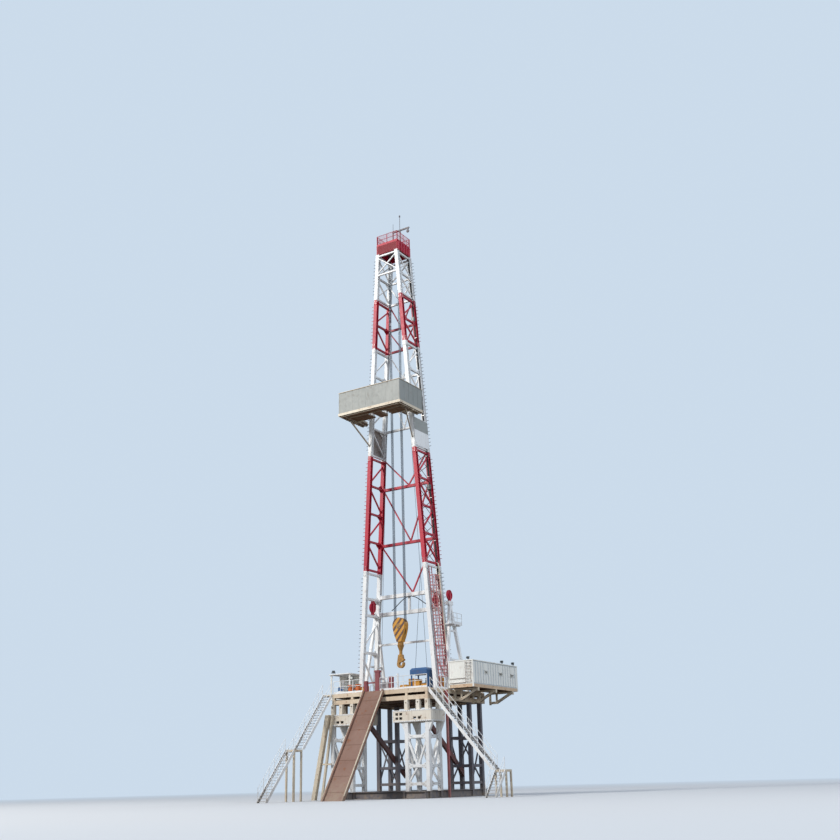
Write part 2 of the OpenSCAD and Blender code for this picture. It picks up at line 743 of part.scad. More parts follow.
// Base frame and floor plate of the side cabin
module side_cabin_floor() color(cream) {
    difference() {
        slab([cabin_x0, cabin_front, cabin_z - cabin_base_h], [cabin_x1, cabin_y1, cabin_z]);
        slab([cabin_x0 + 80, cabin_front + 80, cabin_z - cabin_base_h - 1],
             [cabin_x1 - 80, cabin_y1 - 80, cabin_z - 20]);
    }
    for (i = [1:4]) {
        y = cabin_front + cabin_l * i / 5;
        slab([cabin_x0 + 40, y - 30, cabin_z - cabin_base_h + 10], [cabin_x1 - 40, y + 30, cabin_z - 10]);
    }
}

// Walls of the side cabin, with a doorway to the floor and small windows
module side_cabin_walls() color(white) {
    z = cabin_z + seat;
    top = z + cabin_h;
    t = cabin_wall;
    door_y = cabin_front + 520;
    door_w = 460;
    door_h = 900;
    slab([cabin_x0, cabin_front, z], [cabin_x1, cabin_front + t, top]);
    slab([cabin_x0, cabin_y1 - t, z], [cabin_x1, cabin_y1, top]);
    difference() {
        slab([cabin_x1 - t, cabin_front + t + seat, z], [cabin_x1, cabin_y1 - t - seat, top]);
        for (k = [0.25, 0.58, 0.84])
            slab([cabin_x1 - t - 1, cabin_front + cabin_l * k, z + 490],
                 [cabin_x1 + 1, cabin_front + cabin_l * k + 300, z + 590]);
    }
    slab([cabin_x0, cabin_front + t + seat, z], [cabin_x0 + t, door_y, top]);
    slab([cabin_x0, door_y + seat, z + door_h], [cabin_x0 + t, door_y + door_w - seat, top]);
    difference() {
        slab([cabin_x0, door_y + door_w, z], [cabin_x0 + t, cabin_y1 - t - seat, top]);
        for (y = [1700, 2650])
            slab([cabin_x0 - 1, cabin_front + y, z + 500], [cabin_x0 + t + 1, cabin_front + y + 600, z + 820]);
    }
}

module side_cabin_roof() color(white) {
    z = cabin_z + cabin_h + 2 * seat;
    slab([cabin_x0 - 20, cabin_front - 30, z], [cabin_x1 + 30, cabin_y1 + 30, z + 40]);
}

// Three deep brackets that carry the side cabin off the floor's edge
module cabin_brackets() color(steel) {
    top = cabin_z - cabin_base_h - seat;
    in = floor_half + seat;
    out = cabin_x1 + 20;
    knee = in + (out - in) * 0.3;
    deep = 520;
    for (y = [cabin_front + 450, cabin_front + cabin_l / 2, cabin_front + cabin_l - 450]) {
        slab([in, y - 45, top - 90], [out, y + 45, top]);
        intersection() {
            union() {
                bar([out - 60, y, top - 45], [knee, y, top - deep + 50], 100, 110);
                slab([in + 10, y - 56, top - deep], [knee + 20, y + 56, top - deep + 104]);
                slab([knee - 34, y - 44, top - deep + 40], [knee + 34, y + 44, top - 40]);
            }
            slab([in + 5, y - 100, top - deep - 90], [out - 5, y + 100, top - 15]);
        }
        slab([in, y - 64, top - deep - 40], [in + 60, y + 64, top - 25]);
        slab([out - 70, y - 60, top - 150], [out - 8, y + 60, top - 25]);
    }
}

// Foot pads of the mast and the raising frame, with lugs on both sides of each leg
module mast_shoes() color(steel) both_sides() {
    z = floor_z + seat;
    slab([mast_half_0 - 170, mid_y(0) - mast_depth / 2 - 160, z],
         [gantry_foot_x - gantry_pad - 5, mid_y(0) + mast_depth / 2 + 160, z + 60 - 2 * seat]);
}

// One mast leg between two heights
module leg(s, u0, u1) {
    a = leg_at(u0 - 200, s);
    b = leg_at(u1 + 200, s);
    v = b - a;
    c = atan2(v.y, v.x);
    translate(a) rotate([0, acos(v.z / norm(v)), c]) rotate([0, 0, -c]) linear_extrude(norm(v)) {
        for (k = [-1, 1]) translate([-leg_w / 2, k * (leg_w / 2 - 11) - 11]) square([leg_w, 22]);
        translate([-9, -leg_w / 2 + 11]) square([18, leg_w - 22]);
    }
}

// Right side truss of the mast between two heights: legs, girts and zigzag or crossed braces
module side_truss(u0, u1, bays, crossed = false, braced = true) {
    low = u0 + 90;
    high = u1 - 90;
    intersection() {
        union() {
            for (s = [-1, 1]) leg(s, u0, u1);
            for (i = [0:bays]) {
                u = low + (high - low) * i / bays;
                bar(leg_at(u, -1), leg_at(u, 1), girt_w, girt_w);
            }
            if (braced) for (i = [0:bays - 1]) {
                step = (high - low) / bays;
                a = low + step * i + 110;
                b = low + step * (i + 1) - 110;
                s = i % 2 == 0 ? 1 : -1;
                bar(leg_at(a, s), leg_at(b, -s), brace_w, brace_w);
                if (crossed) bar(leg_at(a, -s), leg_at(b, s), brace_w - 10, brace_w - 10);
            }
        }
        slab([0, -3000, floor_z + (u0 == 0 ? 60 : u0)], [5000, 3000, floor_z + u1 - seat]);
    }
}

mast_sheave = [leg_x(mast_sheave_up), mid_y(mast_sheave_up) + 60, floor_z + mast_sheave_up];
fork_low = mast_sheave_up - 390;
fork_high = mast_sheave_up + 390;

// Narrow cheeks and the pin that carry a sheave between two heights
module fork(at, low, high) {
    for (s = [-1, 1]) {
        inner = at.x + s * sheave_x_gap;
        x = [min(inner, inner + s * cheek_t), max(inner, inner + s * cheek_t)];
        slab([x[0], at.y - fork_w / 2, low], [x[1], at.y + fork_w / 2, high]);
        translate([x[0], at.y, at.z]) rotate([0, 90, 0]) cylinder(d = pin_d + 70, h = cheek_t, $fn = 32);
    }
    translate([at.x - sheave_x_gap - cheek_t, at.y, at.z]) rotate([0, 90, 0])
        cylinder(d = pin_d, h = 2 * (sheave_x_gap + cheek_t), $fn = 48);
}

module sheave_forks() color(crimson) both_sides() {
    half = girt_w / 2 + 10 + seat;
    fork(mast_sheave, floor_z + fork_low + half, floor_z + fork_high - half);
    fork(gantry_head, gantry_neck.z + 90 + seat, gantry_head.z + 110);
}

module mast_sides_1() color(white) both_sides() {
    side_truss(0, joint_1, 1, false, false);
    for (u = [joint_1 * 0.34, fork_low, fork_high]) bar(leg_at(u, -1), leg_at(u, 1), girt_w + 20, girt_w + 20);
    bar(leg_at(300, 1), leg_at(joint_1 * 0.3, -1), brace_w, brace_w);
    bar(leg_at(joint_1 * 0.38, -1), leg_at(fork_low - 240, 1), brace_w, brace_w);
}

module mast_sides_2() color(crimson) both_sides() side_truss(joint_1, joint_2, 4);
module mast_sides_3() color(white) both_sides() side_truss(joint_2, joint_3, 4);
module mast_sides_4() color(crimson) both_sides() side_truss(joint_3, joint_4, 2);
module mast_sides_5() color(white) both_sides() side_truss(joint_4, mast_h, 2, true);

// Point between the rear legs; k runs from -1 at the left leg to 1 at the right leg
function back_at(u, k) = [k * leg_x(u), mid_y(u) + mast_depth / 2, floor_z + u];

// Cross beam between the rear legs with a plate at each end
module back_beam(u, w) {
    reach = leg_x(u) - leg_w / 2 - 4;
    at = back_at(u, 0);
    slab([-reach, at.y - w / 2, at.z - w / 2], [reach, at.y + w / 2, at.z + w / 2]);
    for (s = [-1, 1])
        slab([s * reach - 12, at.y - leg_w / 2, at.z - w], [s * reach + 12, at.y + leg_w / 2, at.z + w]);
}

// Two braces from the middle of one level out to the legs at the next, a solid each
module back_vee(low, high, apex, w) for (s = [-1, 1]) {
    x = apex * leg_x(low);
    intersection() {
        bar(back_at(low, apex), back_at(high, s * 0.93), w, w);
        slab([s > 0 ? x + seat / 2 : -5000, -5000, floor_z + low - w],
             [s > 0 ? 5000 : x - seat / 2, 5000, floor_z + high + w]);
    }
}

// Keeps a back panel clear of the rear legs and between two heights
module between_legs(u0, u1) {
    difference() {
        intersection() {
            children();
            slab([-5000, -3000, floor_z + u0], [5000, 3000, floor_z + u1 - seat]);
        }
        both_sides() post(leg_at(u0 - 300, 1), leg_at(u1 + 300, 1), leg_w + 2 * seat, leg_w + 2 * seat);
    }
}

// Beams at the given heights, with a pair of braces between each two and up to the panel's end
module back_panel(u0, u1, beams, w, brace, apex) {
    between_legs(u0, u1) for (u = beams) back_beam(u, w);
    ends = concat(beams, [u1 + w / 2]);
    for (i = [0:len(beams) - 1])
        between_legs(ends[i] + w / 2 + 2 * seat, ends[i + 1] - w / 2 - seat)
            back_vee(ends[i] + w / 2, ends[i + 1] - w / 2, apex, brace);
}

back_beam_w = 170;
back_beam_up = fork_high + 130;

module mast_back_1() color(white) {
    w = back_beam_w;
    pair = [fork_low + 90, back_beam_up];
    for (u = pair) between_legs(200, joint_1) back_beam(u, w);
    between_legs(200, joint_1) back_beam(joint_1 * 0.41, 90);
    slab(back_at(pair[0], 0) + [-60, -50, w / 2 + seat], back_at(pair[1], 0) + [60, 50, -w / 2 - seat]);
}

module mast_back_2() color(crimson) {
    span = joint_2 - joint_1;
    w = 130;
    beams = [for (k = [0.24, 0.735]) joint_1 + span * k];
    back_panel(joint_1, joint_2, beams, w, 60, 0.12);
    low = back_beam_up + back_beam_w / 2;
    between_legs(low + seat, beams[0] - w / 2 - seat) back_vee(low, beams[0] - w / 2, 0.12, 60);
}

module mast_back_3() color(white) {
    low = joint_3 - joint_2;
    top = mast_h - joint_4;
    back_panel(joint_2, joint_4 + top * 0.42,
               [joint_2 + low * 0.265, joint_2 + low * 0.743, joint_3 + 100,
                (joint_3 + joint_4) / 2, joint_4 + 100], 100, 56, 0);
}

// Crossed braces between the front legs and between the rear legs at the top
module mast_top_bracing() color(white) for (s = [-1, 1]) {
    low = mast_h - (mast_h - joint_4) * 0.47;
    high = mast_h - 120;
    out = [0, s * (leg_w / 2 - 40), 0];
    a = leg_at(low, s) + out;
    b = leg_at(high, s) + out;
    difference() {
        union() {
            for (p = [a, b]) bar(left(p), p, 80, 80);
            bar(left(a) + [0, 0, 60], b - [0, 0, 60], 56, 56);
            bar(a + [0, 0, 60], left(b) - [0, 0, 60], 50, 50);
        }
        both_sides() post(leg_at(low - 400, s), leg_at(high + 400, s), leg_w + 2 * seat, leg_w + 2 * seat);
    }
}

// Plates on the outer faces of the legs below the racking board
module mast_panels() color(white) both_sides() {
    u0 = joint_2 + 120;
    u1 = racking_z - racking_frame_h - floor_z - 80;
    mid = (u0 + u1) / 2;
    x = leg_x(mid) + leg_w / 2 + seat + 10;
    tilt = atan((leg_x(u0) - leg_x(u1)) / (u1 - u0));
    translate([x, mid_y(mid), floor_z + mid]) rotate([0, -tilt, 0])
        translate([-10, -mast_depth / 2 - 60, -(u1 - u0) / 2]) cube([20, mast_depth + 120, u1 - u0]);
}

// Raising frame: a leaning two-legged frame on each side with a sheave fork at its head
module raising_frame() color(white) both_sides() {
    front = [gantry_foot_x, gantry_front_y, floor_z];
    rear = [gantry_foot_x, gantry_rear_y, floor_z];
    neck = gantry_neck;
    step = (neck - front) / norm(neck - front) * 60;
    back = (neck - rear) / norm(neck - rear) * 60;
    intersection() {
        union() {
            post(front - step, neck + step, gantry_w, gantry_w);
            post(rear - back, neck + back, gantry_w - 10, gantry_w);
            for (k = [0.35, 0.68])
                bar(front + (neck - front) * k, rear + (neck - rear) * k, gantry_w - 50, gantry_w - 50);
            slab(neck - [85, 180, 90], neck + [85, 180, 90]);
        }
        slab([0, -1000, floor_z + 25], [4000, 4000, floor_z + gantry_h + 400]);
    }
    for (f = [front, rear]) slab(f + [-gantry_pad, -170, seat], f + [gantry_pad, 170, 40]);
    link = leg_at(neck.z - floor_z, 1);
    slab([link.x + leg_w / 2 + 4, neck.y - 177, neck.z - 45], [neck.x - 80, link.y + leg_w / 2 - 5, neck.z + 45]);
}

// Small railed platform round the legs of the raising frame on the right side
module frame_platform() color(white) {
    up = gantry_h - 1400;
    z = floor_z + up;
    k = up / (gantry_h - 380);
    x0 = gantry_foot_x + (gantry_head_x - gantry_foot_x) * k;
    y0 = gantry_front_y + (gantry_head_y - gantry_front_y) * k;
    y1 = gantry_rear_y + (gantry_head_y - gantry_rear_y) * k;
    front = [gantry_foot_x, gantry_front_y, floor_z];
    rear = [gantry_foot_x, gantry_rear_y, floor_z];
    out = x0 + 330;
    difference() {
        union() {
            slab([x0 - 85, y0 - 200, z], [out, y1 + 200, z + 40]);
            for (y = [y0, y1]) slab([x0 - 85, y - 35, z - 70], [out, y + 35, z + 10]);
        }
        post(front, gantry_neck, gantry_w + 2 * seat, gantry_w + 2 * seat);
        post(rear, gantry_neck, gantry_w - 10 + 2 * seat, gantry_w + 2 * seat);
    }
    railing([out - 20, y0 - 180, z + 40 + seat], [out - 20, y1 + 180, z + 40 + seat], 480);
}

// Caged ladder on the front leg of the right side, from the floor to the first joint
module mast_ladder() color(crimson) {
    n = 36;
    off = [leg_w / 2 + 40, 190, 0];
    foot = leg_at(120, -1) + off;
    head = leg_at(joint_1 - 150, -1) + off;
    cage = 330;
    half = 165;
    low = foot + (head - foot) * 3 / n;
    high = foot + (head - foot) * (n - 3) / n;
    // the ladder itself, on brackets from the leg
    for (y = [-110, 110]) post(foot + [0, y, 0], head + [0, y, 0], 24, 40);
    for (i = [1:n - 1]) {
        at = foot + (head - foot) * i / n;
        rod(at - [0, 110, 0], at + [0, 110, 0], 18);
    }
    for (u = [300, 2000, 3700, 5300]) {
        at = leg_at(u, -1);
        difference() {
            slab(at + [0, 40, -25], at + [off.x, 90, 25]);
            post(leg_at(0, -1), leg_at(joint_1, -1), leg_w + 2 * seat, leg_w + 2 * seat);
        }
    }
    for (i = [3:3:n - 3]) {
        at = foot + (head - foot) * i / n;
        slab(at + [-6, -half - 10, -10], at + [6, half + 10, 10]);
    }
    // side panels and outer panel of the cage
    for (s = [-1, 1]) {
        for (k = [40, cage / 2, cage - 20])
            post(low + [k, s * half, 0], high + [k, s * half, 0], 14, 14);
        for (i = [3:3:n - 3]) {
            at = foot + (head - foot) * i / n + [0, s * half, 0];
            slab(at + [6 + seat, -8, -14], at + [cage - 8, 8, 14]);
        }
    }
    for (y = [-half, 0, half]) post(low + [cage, y, 0], high + [cage, y, 0], 14, 14);
    for (i = [3:3:n - 3]) {
        at = foot + (head - foot) * i / n;
        slab(at + [cage - 8 + seat, -half - 8, -14], at + [cage + 8, half + 8, 14]);
    }
}

// Standpipe with its bend, and the black hose that runs down beside it
module standpipe() color(cream) {
    off = [leg_w / 2 + 40, -190, 0];
    foot = leg_at(140, 1) + off;
    head = leg_at(joint_1 + 100, 1) + off;
    run(foot, head) cylinder(d = 68, h = norm(head - foot), $fn = 24);
    for (k = [0.25, 0.5, 0.75]) run(foot + (head - foot) * k, head) cylinder(d = 84, h = 40, $fn = 24);
    for (u = [500, 2700, 5300]) {
        at = leg_at(u, 1);
        difference() {
            slab(at + [62, -215, -20], at + [leg_w / 2 + 60, -60, 20]);
            post(leg_at(0, 1), leg_at(joint_1, 1), leg_w + 2 * seat, leg_w + 2 * seat);
        }
    }
}

// Racking board floor: frame, front walkway, side walkways, fingers and middle board
module racking_floor() color(rust) {
    top = racking_z;
    low = racking_z - racking_frame_h;
    y0 = racking_front;
    walk = 480;
    side = 330;
    side_y = y0 + walk + seat;
    slab([-racking_half, y0, low], [racking_half, y0 + walk, top]);
    for (s = [-1, 1]) {
        slab([min(s * racking_half, s * (racking_half - side)), side_y, low],
             [max(s * racking_half, s * (racking_half - side)), racking_rear, top]);
        for (i = [0:3]) {
            y = side_y + 120 + i * 200;
            slab([min(s * 480, s * (racking_half - side - seat)), y, low + 20],
                 [max(s * 480, s * (racking_half - side - seat)), y + 90, top - 20]);
        }
    }
    slab([-200, side_y, low], [200, -1050, top]);
}

// Wind walls on three sides of the racking board
module racking_walls() color(cream) {
    z = racking_z + seat;
    t = racking_wall_t;
    slab([-racking_half, racking_front, z], [racking_half, racking_front + t, z + racking_wall_h]);
    for (s = [-1, 1])
        slab([min(s * racking_half, s * (racking_half - t)), racking_front + t + seat, z],
             [max(s * racking_half, s * (racking_half - t)), racking_rear, z + racking_wall_h]);
}

// Struts that carry the racking board off the front legs
module racking_struts() color(cream) both_sides() {
    top = racking_z - racking_frame_h - seat;
    u = racking_z - floor_z - 1250;
    front = leg_at(u, -1);
    out = [racking_half - 160, racking_front + 700, top];
    difference() {
        union() {
            bar(front + [0, -leg_w / 2, 0], out + [0, 0, -30], 56, 56);
            slab([1150, -1250, top - 90], [racking_half, -1190, top]);
            slab([racking_half - 220, racking_front + 600, top - 60], [racking_half - 100, -1200, top]);
            slab([leg_x(u + 1100) - 60, -1250, top - 90], [leg_x(u + 1100) + 60, -900, top]);
        }
        post(leg_at(joint_2, -1), leg_at(joint_3, -1), leg_w + 2 * seat, leg_w + 2 * seat);
    }
}

// Beams that cap the mast and carry the crown platform
module crown_beams() color(crimson) {
    z = crown_z + seat;
    for (s = [-1, 1]) {
        slab([s * crown_half - 60, -crown_deep, z], [s * crown_half + 60, crown_deep, z + crown_h]);
        slab([-crown_half, s * crown_deep - 55, z + 10], [crown_half, s * crown_deep + 55, z + crown_h - 10]);
    }
    difference() {
        slab([-crown_deck_half, 20 - crown_deck_half, z + crown_h - 20],
             [crown_deck_half, crown_deck_half - 20, z + crown_h + 20]);
        slab([-420, -200, z], [420, 200, z + crown_h + 40]);
    }
}

module crown_rails() color(crimson) {
    z = crown_z + crown_h + 20 + 2 * seat;
    x = crown_deck_half - 25;
    y = crown_deck_half - 45;
    railing([-x, -y, z], [x, -y, z]);
    railing([-x, y, z], [x, y, z]);
    railing([x, -y + 30, z], [x, y - 30, z]);
    railing([-x, -y + 30, z], [-x, y - 30, z]);
}

crown_shaft_z = crown_z + 300;

// Crown sheaves on one shaft between the crown beams
module crown_sheaves() color(steel) {
    z = crown_shaft_z;
    reach = crown_deep - 55 - seat;
    for (s = [-1, 1], i = [0:falls - 1]) {
        y = (i - (falls - 1) / 2) * fall_step;
        translate([0, y + 14, z]) rotate([90, 0, 0]) cylinder(d = crown_sheave_d, h = 28, $fn = 48);
    }
    translate([0, reach, z]) rotate([90, 0, 0]) cylinder(d = 110, h = 2 * reach, $fn = 32);
}

// Lifting boom on two posts, with the lamp mast and the rod beside it
module gin_pole() color(steel) {
    z = crown_z + crown_h + 20 + 2 * seat;
    boom = z + rail_h + 560;
    y = crown_deck_half - 320;
    for (x = [-230, 230]) slab([x - 25, y - 25, z], [x + 25, y + 25, boom - 30]);
    slab([-255, y - 35, boom - 35], [800, y + 35, boom + 35]);
    slab([-205 - seat, y - 20, z + 480], [205 + seat, y + 20, z + 520]);
    rod([150, y + 90, z], [150, y + 90, boom + 940], 26);
    translate([150, y + 90, boom + 870]) cylinder(d = 80, h = 80, $fn = 24);
    rod([-275, y + 90, z], [-275, y + 90, boom + 560], 20);
}

block_top = floor_z + block_up;

// Falls of line between the crown and the block
module drilling_lines() color(steel)
    for (s = [-1, 1], i = [0:falls - 1]) {
        y = (i - (falls - 1) / 2) * fall_step;
        low = block_top - line_entry + seat;
        translate([s * fall_x, y, low]) cylinder(d = line_d, h = crown_shaft_z - low, $fn = tube_sides);
    }

// Outline of the block housing from its top downwards, round above and narrow at the bottom
function block_side() = concat(
    [for (a = [90:-15:0]) [block_w / 2 * cos(a), block_w / 2 * (sin(a) - 1)]],
    [[block_w * 0.48, -block_h * 0.45], [block_w * 0.41, -block_h * 0.62], [block_w * 0.31, -block_h * 0.8],
     [block_w * 0.22, -block_h * 0.92], [block_w * 0.19, -block_h]]);

module travelling_block() color(amber) difference() {
    side = block_side();
    translate([0, block_t / 2, block_top]) rotate([90, 0, 0]) linear_extrude(block_t)
        polygon(concat(side, [for (i = [len(side) - 1:-1:1]) [-side[i].x, side[i].y]]));
    for (s = [-1, 1])
        slab([s * fall_x - 25, -falls * fall_step / 2 - 10, block_top - line_entry],
             [s * fall_x + 25, falls * fall_step / 2 + 10, block_top + 1]);
    slab([-block_w, -30, block_top - block_h * 0.72], [block_w, 30, block_top - block_h * 0.5]);
}

// Swivel hook: spring housing, shank and a thick hook with its mouth to one side
module hook() color(amber) {
    z = block_top - block_h - seat;
    translate([0, 0, z - 160]) cylinder(d = 250, h = 160, $fn = 48);
    translate([0, 0, z - 400]) cylinder(d1 = 150, d2 = 330, h = 241, $fn = 48);
    translate([0, 0, z - 640]) cylinder(d = 150, h = 250, $fn = 48);
    translate([0, 70, z - 1000]) rotate([90, 0, 0]) difference() {
        union() {
            cylinder(d = 370, h = 140, $fn = 48);
            linear_extrude(140) polygon([[-175, 60], [-110, 420], [110, 420], [175, 60]]);
        }
        translate([15, 0, -1]) cylinder(d = 170, h = 142, $fn = 48);
        translate([60, -10, -1]) rotate([0, 0, 35]) cube([220, 64, 142]);
    }
}

// Grooved raising sheave with a bore for its pin
module raising_sheave(at) color(crimson)
    translate(at) rotate([0, 90, 0]) rotate_extrude($fn = 64)
        polygon([[pin_d / 2 + pin_gap, -sheave_t / 2], [95, -sheave_t / 2], [95, -sheave_t / 5],
                 [sheave_d / 2 - 45, -sheave_t / 5], [sheave_d / 2 - 45, -sheave_t / 2],
                 [sheave_d / 2, -sheave_t / 2], [sheave_d / 2 - 28, 0], [sheave_d / 2, sheave_t / 2],
                 [sheave_d / 2 - 45, sheave_t / 2], [sheave_d / 2 - 45, sheave_t / 5],
                 [95, sheave_t / 5], [95, sheave_t / 2], [pin_d / 2 + pin_gap, sheave_t / 2]]);

function left(p) = [-p.x, p.y, p.z];

module mast_sheave_right() raising_sheave(mast_sheave);
module mast_sheave_left() raising_sheave(left(mast_sheave));
module frame_sheave_right() raising_sheave(gantry_head);
module frame_sheave_left() raising_sheave(left(gantry_head));

base_skids();
base_spreaders();
front_towers();
rear_towers();
side_braces();
service_boxes();
raking_columns();
cabin_post();
floor_beams();
floor_deck();
rotary_table();
v_door_posts();
floor_railings();
pipe_ramp();
stair_sides();
stair_landings();
stair_treads();
left_shelter();
shelter_roof();
drillers_cabin();
control_stand();
tool_chests();
drawworks();
side_cabin_floor();
side_cabin_walls();
side_cabin_roof();
cabin_brackets();
mast_shoes();
mast_sides_1();
mast_sides_2();
mast_sides_3();
mast_sides_4();
mast_sides_5();
sheave_forks();
mast_back_1();
mast_back_2();
mast_back_3();
mast_top_bracing();
mast_panels();
raising_frame();
frame_platform();
mast_ladder();
standpipe();
racking_floor();
racking_walls();
racking_struts();
crown_beams();
crown_rails();
crown_sheaves();
gin_pole();
drilling_lines();
travelling_block();
hook();
mast_sheave_left();
mast_sheave_right();
frame_sheave_left();
frame_sheave_right();
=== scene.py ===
"""Paints and fits out a packed land drilling rig, and stands it in a plain studio.

The rig stands on z = 0 with its well centre at the origin, at half its real size, in metres.
-Y is the side of the pipe ramp, and +X the side of the side cabin.
"""

import logging
import math
from collections.abc import Iterable, Sequence
from dataclasses import dataclass, field
from enum import Enum
from typing import Any

import bmesh
import bpy
from mathutils import Matrix, Vector

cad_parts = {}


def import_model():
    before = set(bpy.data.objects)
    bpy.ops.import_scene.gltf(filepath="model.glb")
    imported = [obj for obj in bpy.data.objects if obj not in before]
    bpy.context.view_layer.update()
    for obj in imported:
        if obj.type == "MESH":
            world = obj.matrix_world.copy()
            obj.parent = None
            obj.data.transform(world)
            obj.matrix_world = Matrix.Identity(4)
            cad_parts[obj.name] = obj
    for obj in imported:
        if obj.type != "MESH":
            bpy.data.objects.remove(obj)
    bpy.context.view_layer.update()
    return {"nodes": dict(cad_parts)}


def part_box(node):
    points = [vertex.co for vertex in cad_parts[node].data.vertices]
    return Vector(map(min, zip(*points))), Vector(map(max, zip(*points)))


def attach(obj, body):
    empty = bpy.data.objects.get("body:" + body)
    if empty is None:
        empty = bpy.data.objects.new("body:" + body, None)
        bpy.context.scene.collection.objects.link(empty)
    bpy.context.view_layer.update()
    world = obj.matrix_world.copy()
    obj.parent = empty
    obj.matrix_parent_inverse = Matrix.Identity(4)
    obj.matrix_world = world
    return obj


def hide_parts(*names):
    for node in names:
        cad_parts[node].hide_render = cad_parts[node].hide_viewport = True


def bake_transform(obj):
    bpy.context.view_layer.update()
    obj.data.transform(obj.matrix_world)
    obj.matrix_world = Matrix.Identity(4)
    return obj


LOG = logging.getLogger("drilling_rig")
Colour = tuple[float, float, float]
Place = Sequence[float]


class Body(Enum):
    """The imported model's bodies that new pieces ride on."""

    RIG = "rig"
    BLOCK = "block"
    HOOK = "hook"


def add_node(tree: bpy.types.NodeTree, kind: str, settings: dict[str, Any] | None = None,
             inputs: dict[Any, Any] | None = None) -> Any:
    """Adds one node to a tree.

    Args:
        tree: The tree that takes it.
        kind: The node's type name.
        settings: Properties of the node.
        inputs: Sockets to link or values to set, by input name or number.

    Returns:
        The new node.
    """
    node = tree.nodes.new(kind)
    for key, value in (settings or {}).items():
        setattr(node, key, value)
    for key, value in (inputs or {}).items():
        if isinstance(value, bpy.types.NodeSocket):
            tree.links.new(value, node.inputs[key])
        else:
            node.inputs[key].default_value = value
    return node


def show(name: str, data: Any) -> bpy.types.Object:
    """Returns a new object of that name and data, linked to the scene."""
    item = bpy.data.objects.new(name, data)
    bpy.context.scene.collection.objects.link(item)
    return item


class Shader:
    """A material that is put together one node at a time."""

    def __init__(self, name: str) -> None:
        """Starts an empty material with one Principled shader.

        Args:
            name: The material's name.
        """
        self.material = bpy.data.materials.new(name)
        self.material.use_nodes = True
        self.nodes = self.material.node_tree.nodes
        self.links = self.material.node_tree.links
        self.surface = self.nodes["Principled BSDF"]
        coordinates = self.nodes.new("ShaderNodeTexCoord")
        self.where = coordinates.outputs["Object"]
        self.facing = coordinates.outputs["Normal"]

    def add(self, kind: str, settings: dict[str, Any] | None = None,
            inputs: dict[Any, Any] | None = None) -> Any:
        """Adds a node with these settings and inputs and returns it."""
        return add_node(self.material.node_tree, kind, settings, inputs)

    def noise(self, scale: float, detail: float = 3.0, stretch: Place = (1, 1, 1)) -> Any:
        """Returns the value of a noise of that scale, squeezed by stretch along X, Y and Z."""
        placed = self.add("ShaderNodeMapping", {}, {"Vector": self.where, "Scale": stretch})
        return self.add("ShaderNodeTexNoise", {}, {"Vector": placed.outputs[0], "Scale": scale,
                                                   "Detail": detail}).outputs["Fac"]

    def wave(self, scale: float, stretch: Place, turn: Place = (0, 0, 0)) -> Any:
        """Returns the value of straight bands of that scale along X, after stretch and turn."""
        placed = self.add("ShaderNodeMapping", {}, {"Vector": self.where, "Rotation": turn, "Scale": stretch})
        return self.add("ShaderNodeTexWave", {"wave_profile": "SIN"},
                        {"Vector": placed.outputs[0], "Scale": scale}).outputs["Fac"]

    def ramp(self, value: Any, low: float, high: float, end: float = 1.0) -> Any:
        """Returns value spread over 0 to end as it goes from low to high."""
        return self.add("ShaderNodeMapRange", {}, {"Value": value, "From Min": low, "From Max": high,
                                                   "To Min": 0.0, "To Max": end}).outputs[0]

    def sum_up(self, operation: str, first: Any, second: Any) -> Any:
        """Returns the result of one step of arithmetic, held between 0 and 1."""
        return self.add("ShaderNodeMath", {"operation": operation, "use_clamp": True},
                        {0: first, 1: second}).outputs[0]

    def mix(self, share: Any, first: Any, second: Any) -> Any:
        """Returns the first colour turned into the second by share."""
        first, second = ((*c, 1.0) if isinstance(c, tuple) else c for c in (first, second))
        return self.add("ShaderNodeMix", {"data_type": "RGBA"}, {0: share, 6: first, 7: second}).outputs[2]

    def axis(self, vector: Any, letter: str) -> Any:
        """Returns one of X, Y or Z of a vector."""
        return self.add("ShaderNodeSeparateXYZ", {}, {0: vector}).outputs[letter]

    def bump(self, height: Any, strength: float, distance: float) -> None:
        """Raises the surface by a height."""
        node = self.add("ShaderNodeBump", {}, {"Height": height, "Strength": strength, "Distance": distance})
        self.links.new(node.outputs[0], self.surface.inputs["Normal"])

    def colour(self, value: Any) -> None:
        """Sets the base colour from a socket."""
        self.links.new(value, self.surface.inputs["Base Color"])

    def roughness(self, value: Any) -> None:
        """Sets the roughness from a socket."""
        self.links.new(value, self.surface.inputs["Roughness"])


